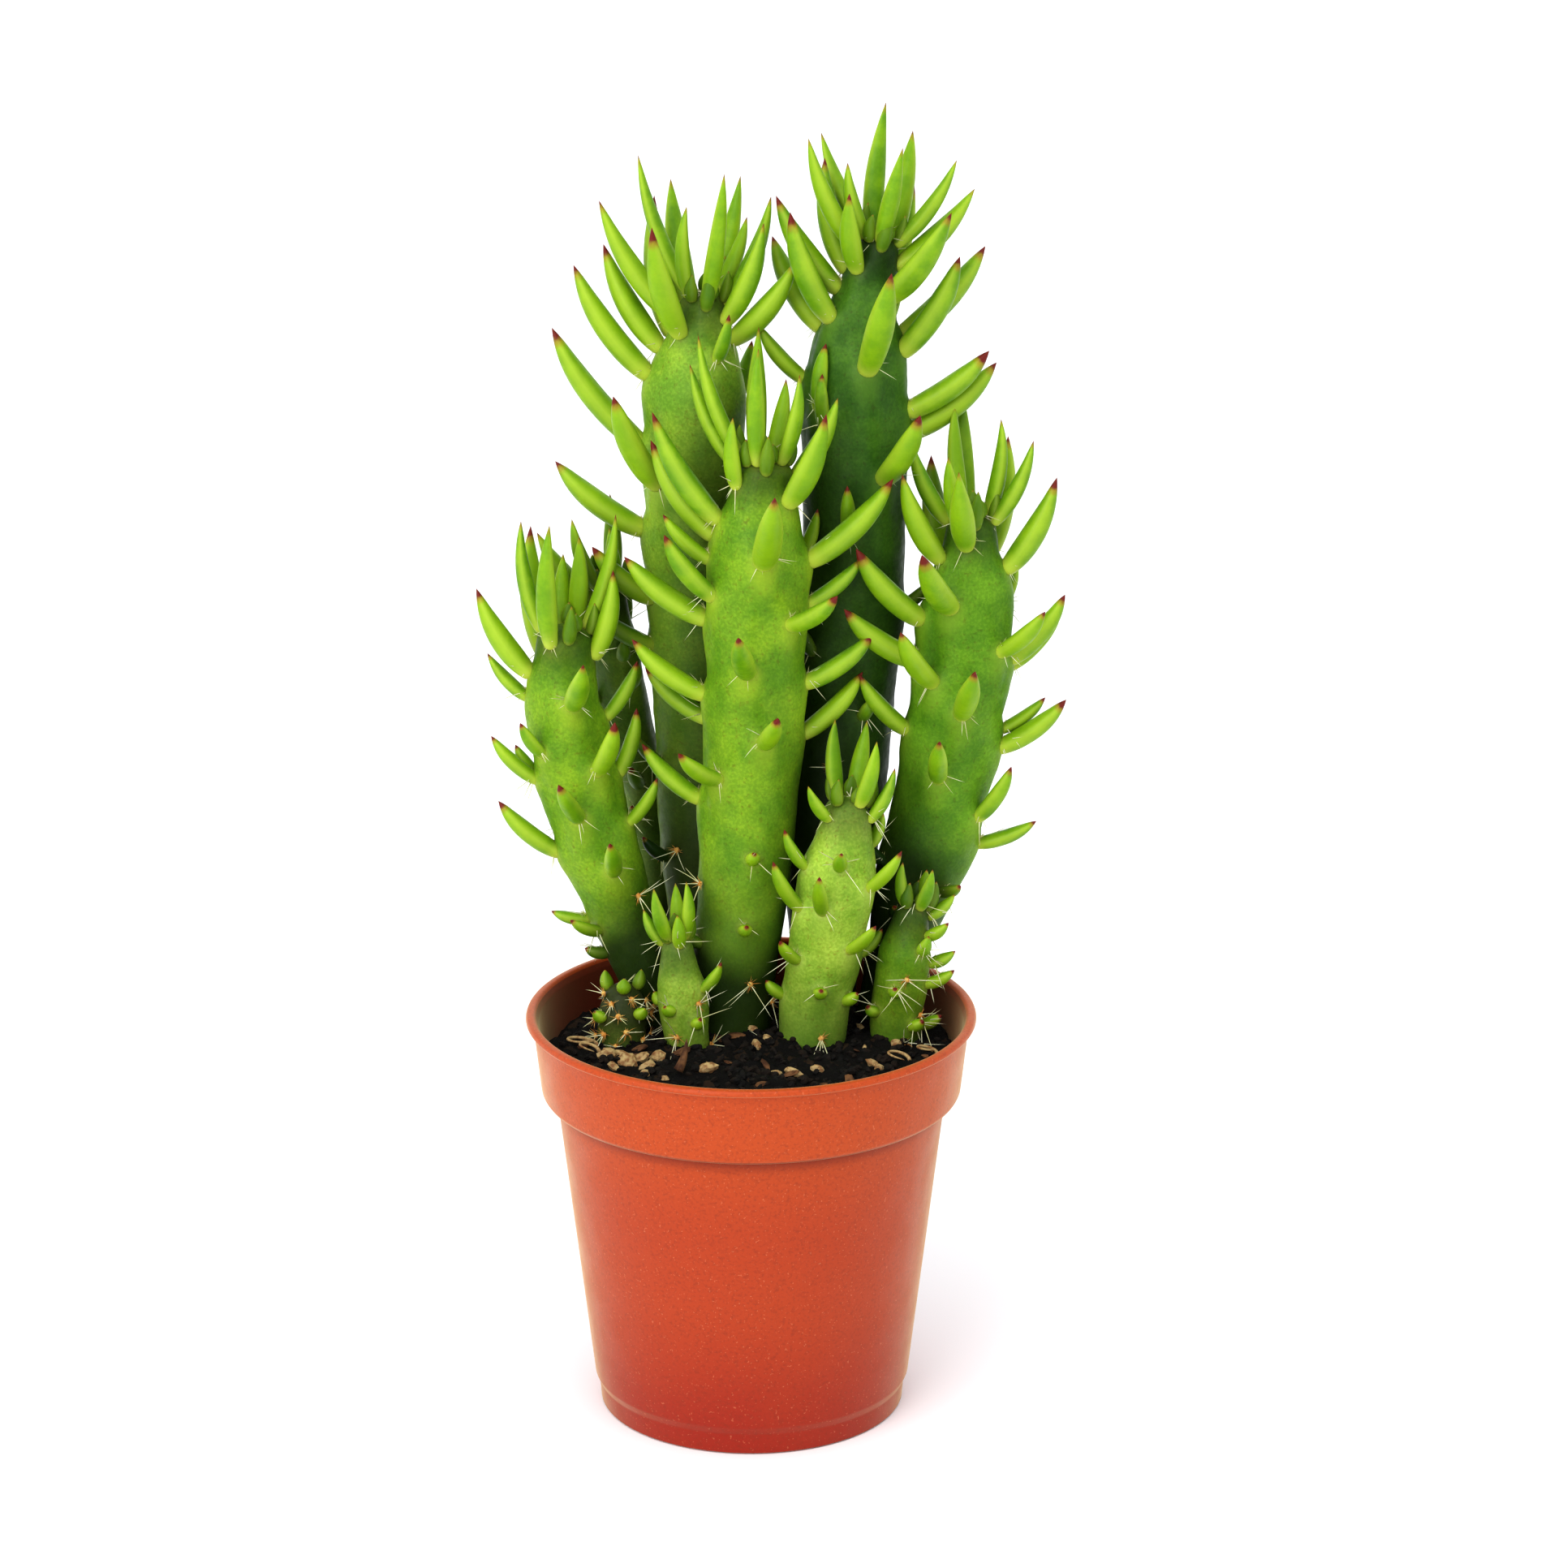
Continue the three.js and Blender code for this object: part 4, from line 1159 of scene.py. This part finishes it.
makeSoil()
crumbDark = makeFibreMaterial("peatCrumbs", rgb(13, 10, 7), rgb(34, 24, 15), 3.0, 0.9)
crumbBark = makeFibreMaterial("barkChips", rgb(72, 44, 26), rgb(120, 84, 52), 2.5, 0.85)
crumbPale = makeFibreMaterial("paleGranules", rgb(186, 160, 112), rgb(140, 100, 62), 1.2, 0.8)
scatter("peat_crumbs", 900, (0.3, 1.0), 0.8, crumbDark, 5)
scatter("bark_chips", 54, (0.6, 1.6), 0.4, crumbBark, 6)
scatter("pale_granules", 22, (0.4, 1.2), 0.85, crumbPale, 7)
print("made soil")


litter = {
    # x, y, radius and turns of each curled fibre; x, y of the husk; x, y and size of each pale lump
    "curls": [(-32, -1, 3.0, 1.25), (-30.5, -6, 2.0, 0.9), (27.5, -9, 2.2, 0.9), (33, -4, 2.0, 1.1)],
    "husk": (-13.5, -16),
    "clump": [
        (-27, -8, 1.9), (-24.5, -6.5, 1.7), (-23, -10, 2.0), (-20.5, -8, 1.6), (-19.5, -11.5, 1.4),
        (-17.5, -6.5, 1.5), (-25.5, -11.5, 1.2), (24, -10, 1.3), (29.5, -11, 1.0), (-8, -15, 1.5),
        (4.5, -15, 1.2), (8, -17, 1.3),
    ],
}


def curlShape(centre, radius, thick, turns, rise):
    # A dry curled fibre
    rings = []
    for share in np.linspace(0, 1, 26):
        angle = 2 * math.pi * turns * share
        reach = radius * (1 - 0.35 * share)
        across, deep = reach * math.cos(angle), 0.75 * reach * math.sin(angle)
        middle = centre + np.array([across, deep, rise * math.sin(3 * share)])
        beside = np.array([math.cos(angle), math.sin(angle), 0])
        girth = thick * (1.1 - 0.7 * share)
        rings.append([middle + girth * (math.cos(a) * beside + math.sin(a) * np.array([0, 0, 1]))
                      for a in np.linspace(0, 2 * math.pi, 8, endpoint=False)])
    rings = np.array(rings)
    return skinOver(rings, rings[0].mean(axis=0), rings[-1].mean(axis=0))


def makeLitter():
    # The larger bits on the soil: curled fibres and a pointed husk
    rng = np.random.default_rng(21)
    curls = []
    for x, y, radius, turns in litter["curls"]:
        curls.append(curlShape(np.array([x, y, groundAt(x, y) + 1.0]), radius, 0.34, turns, 1.4))
    makeObject("curled_fibres", joined(curls), crumbPale)
    x, y = litter["husk"]
    start = np.array([x, y, groundAt(x, y) + 0.8])
    husk = bristle(start, (0.5, 0.3, 0.8), 6.0, 1.0, 0.3, rng, 10, 10)
    makeObject("dry_husk", {**husk, "marks": {}}, crumbBark)


makeLitter()
scatter("pale_clump", len(litter["clump"]), (1, 1), 0.8, crumbPale, 23, litter["clump"])
print("made litter")
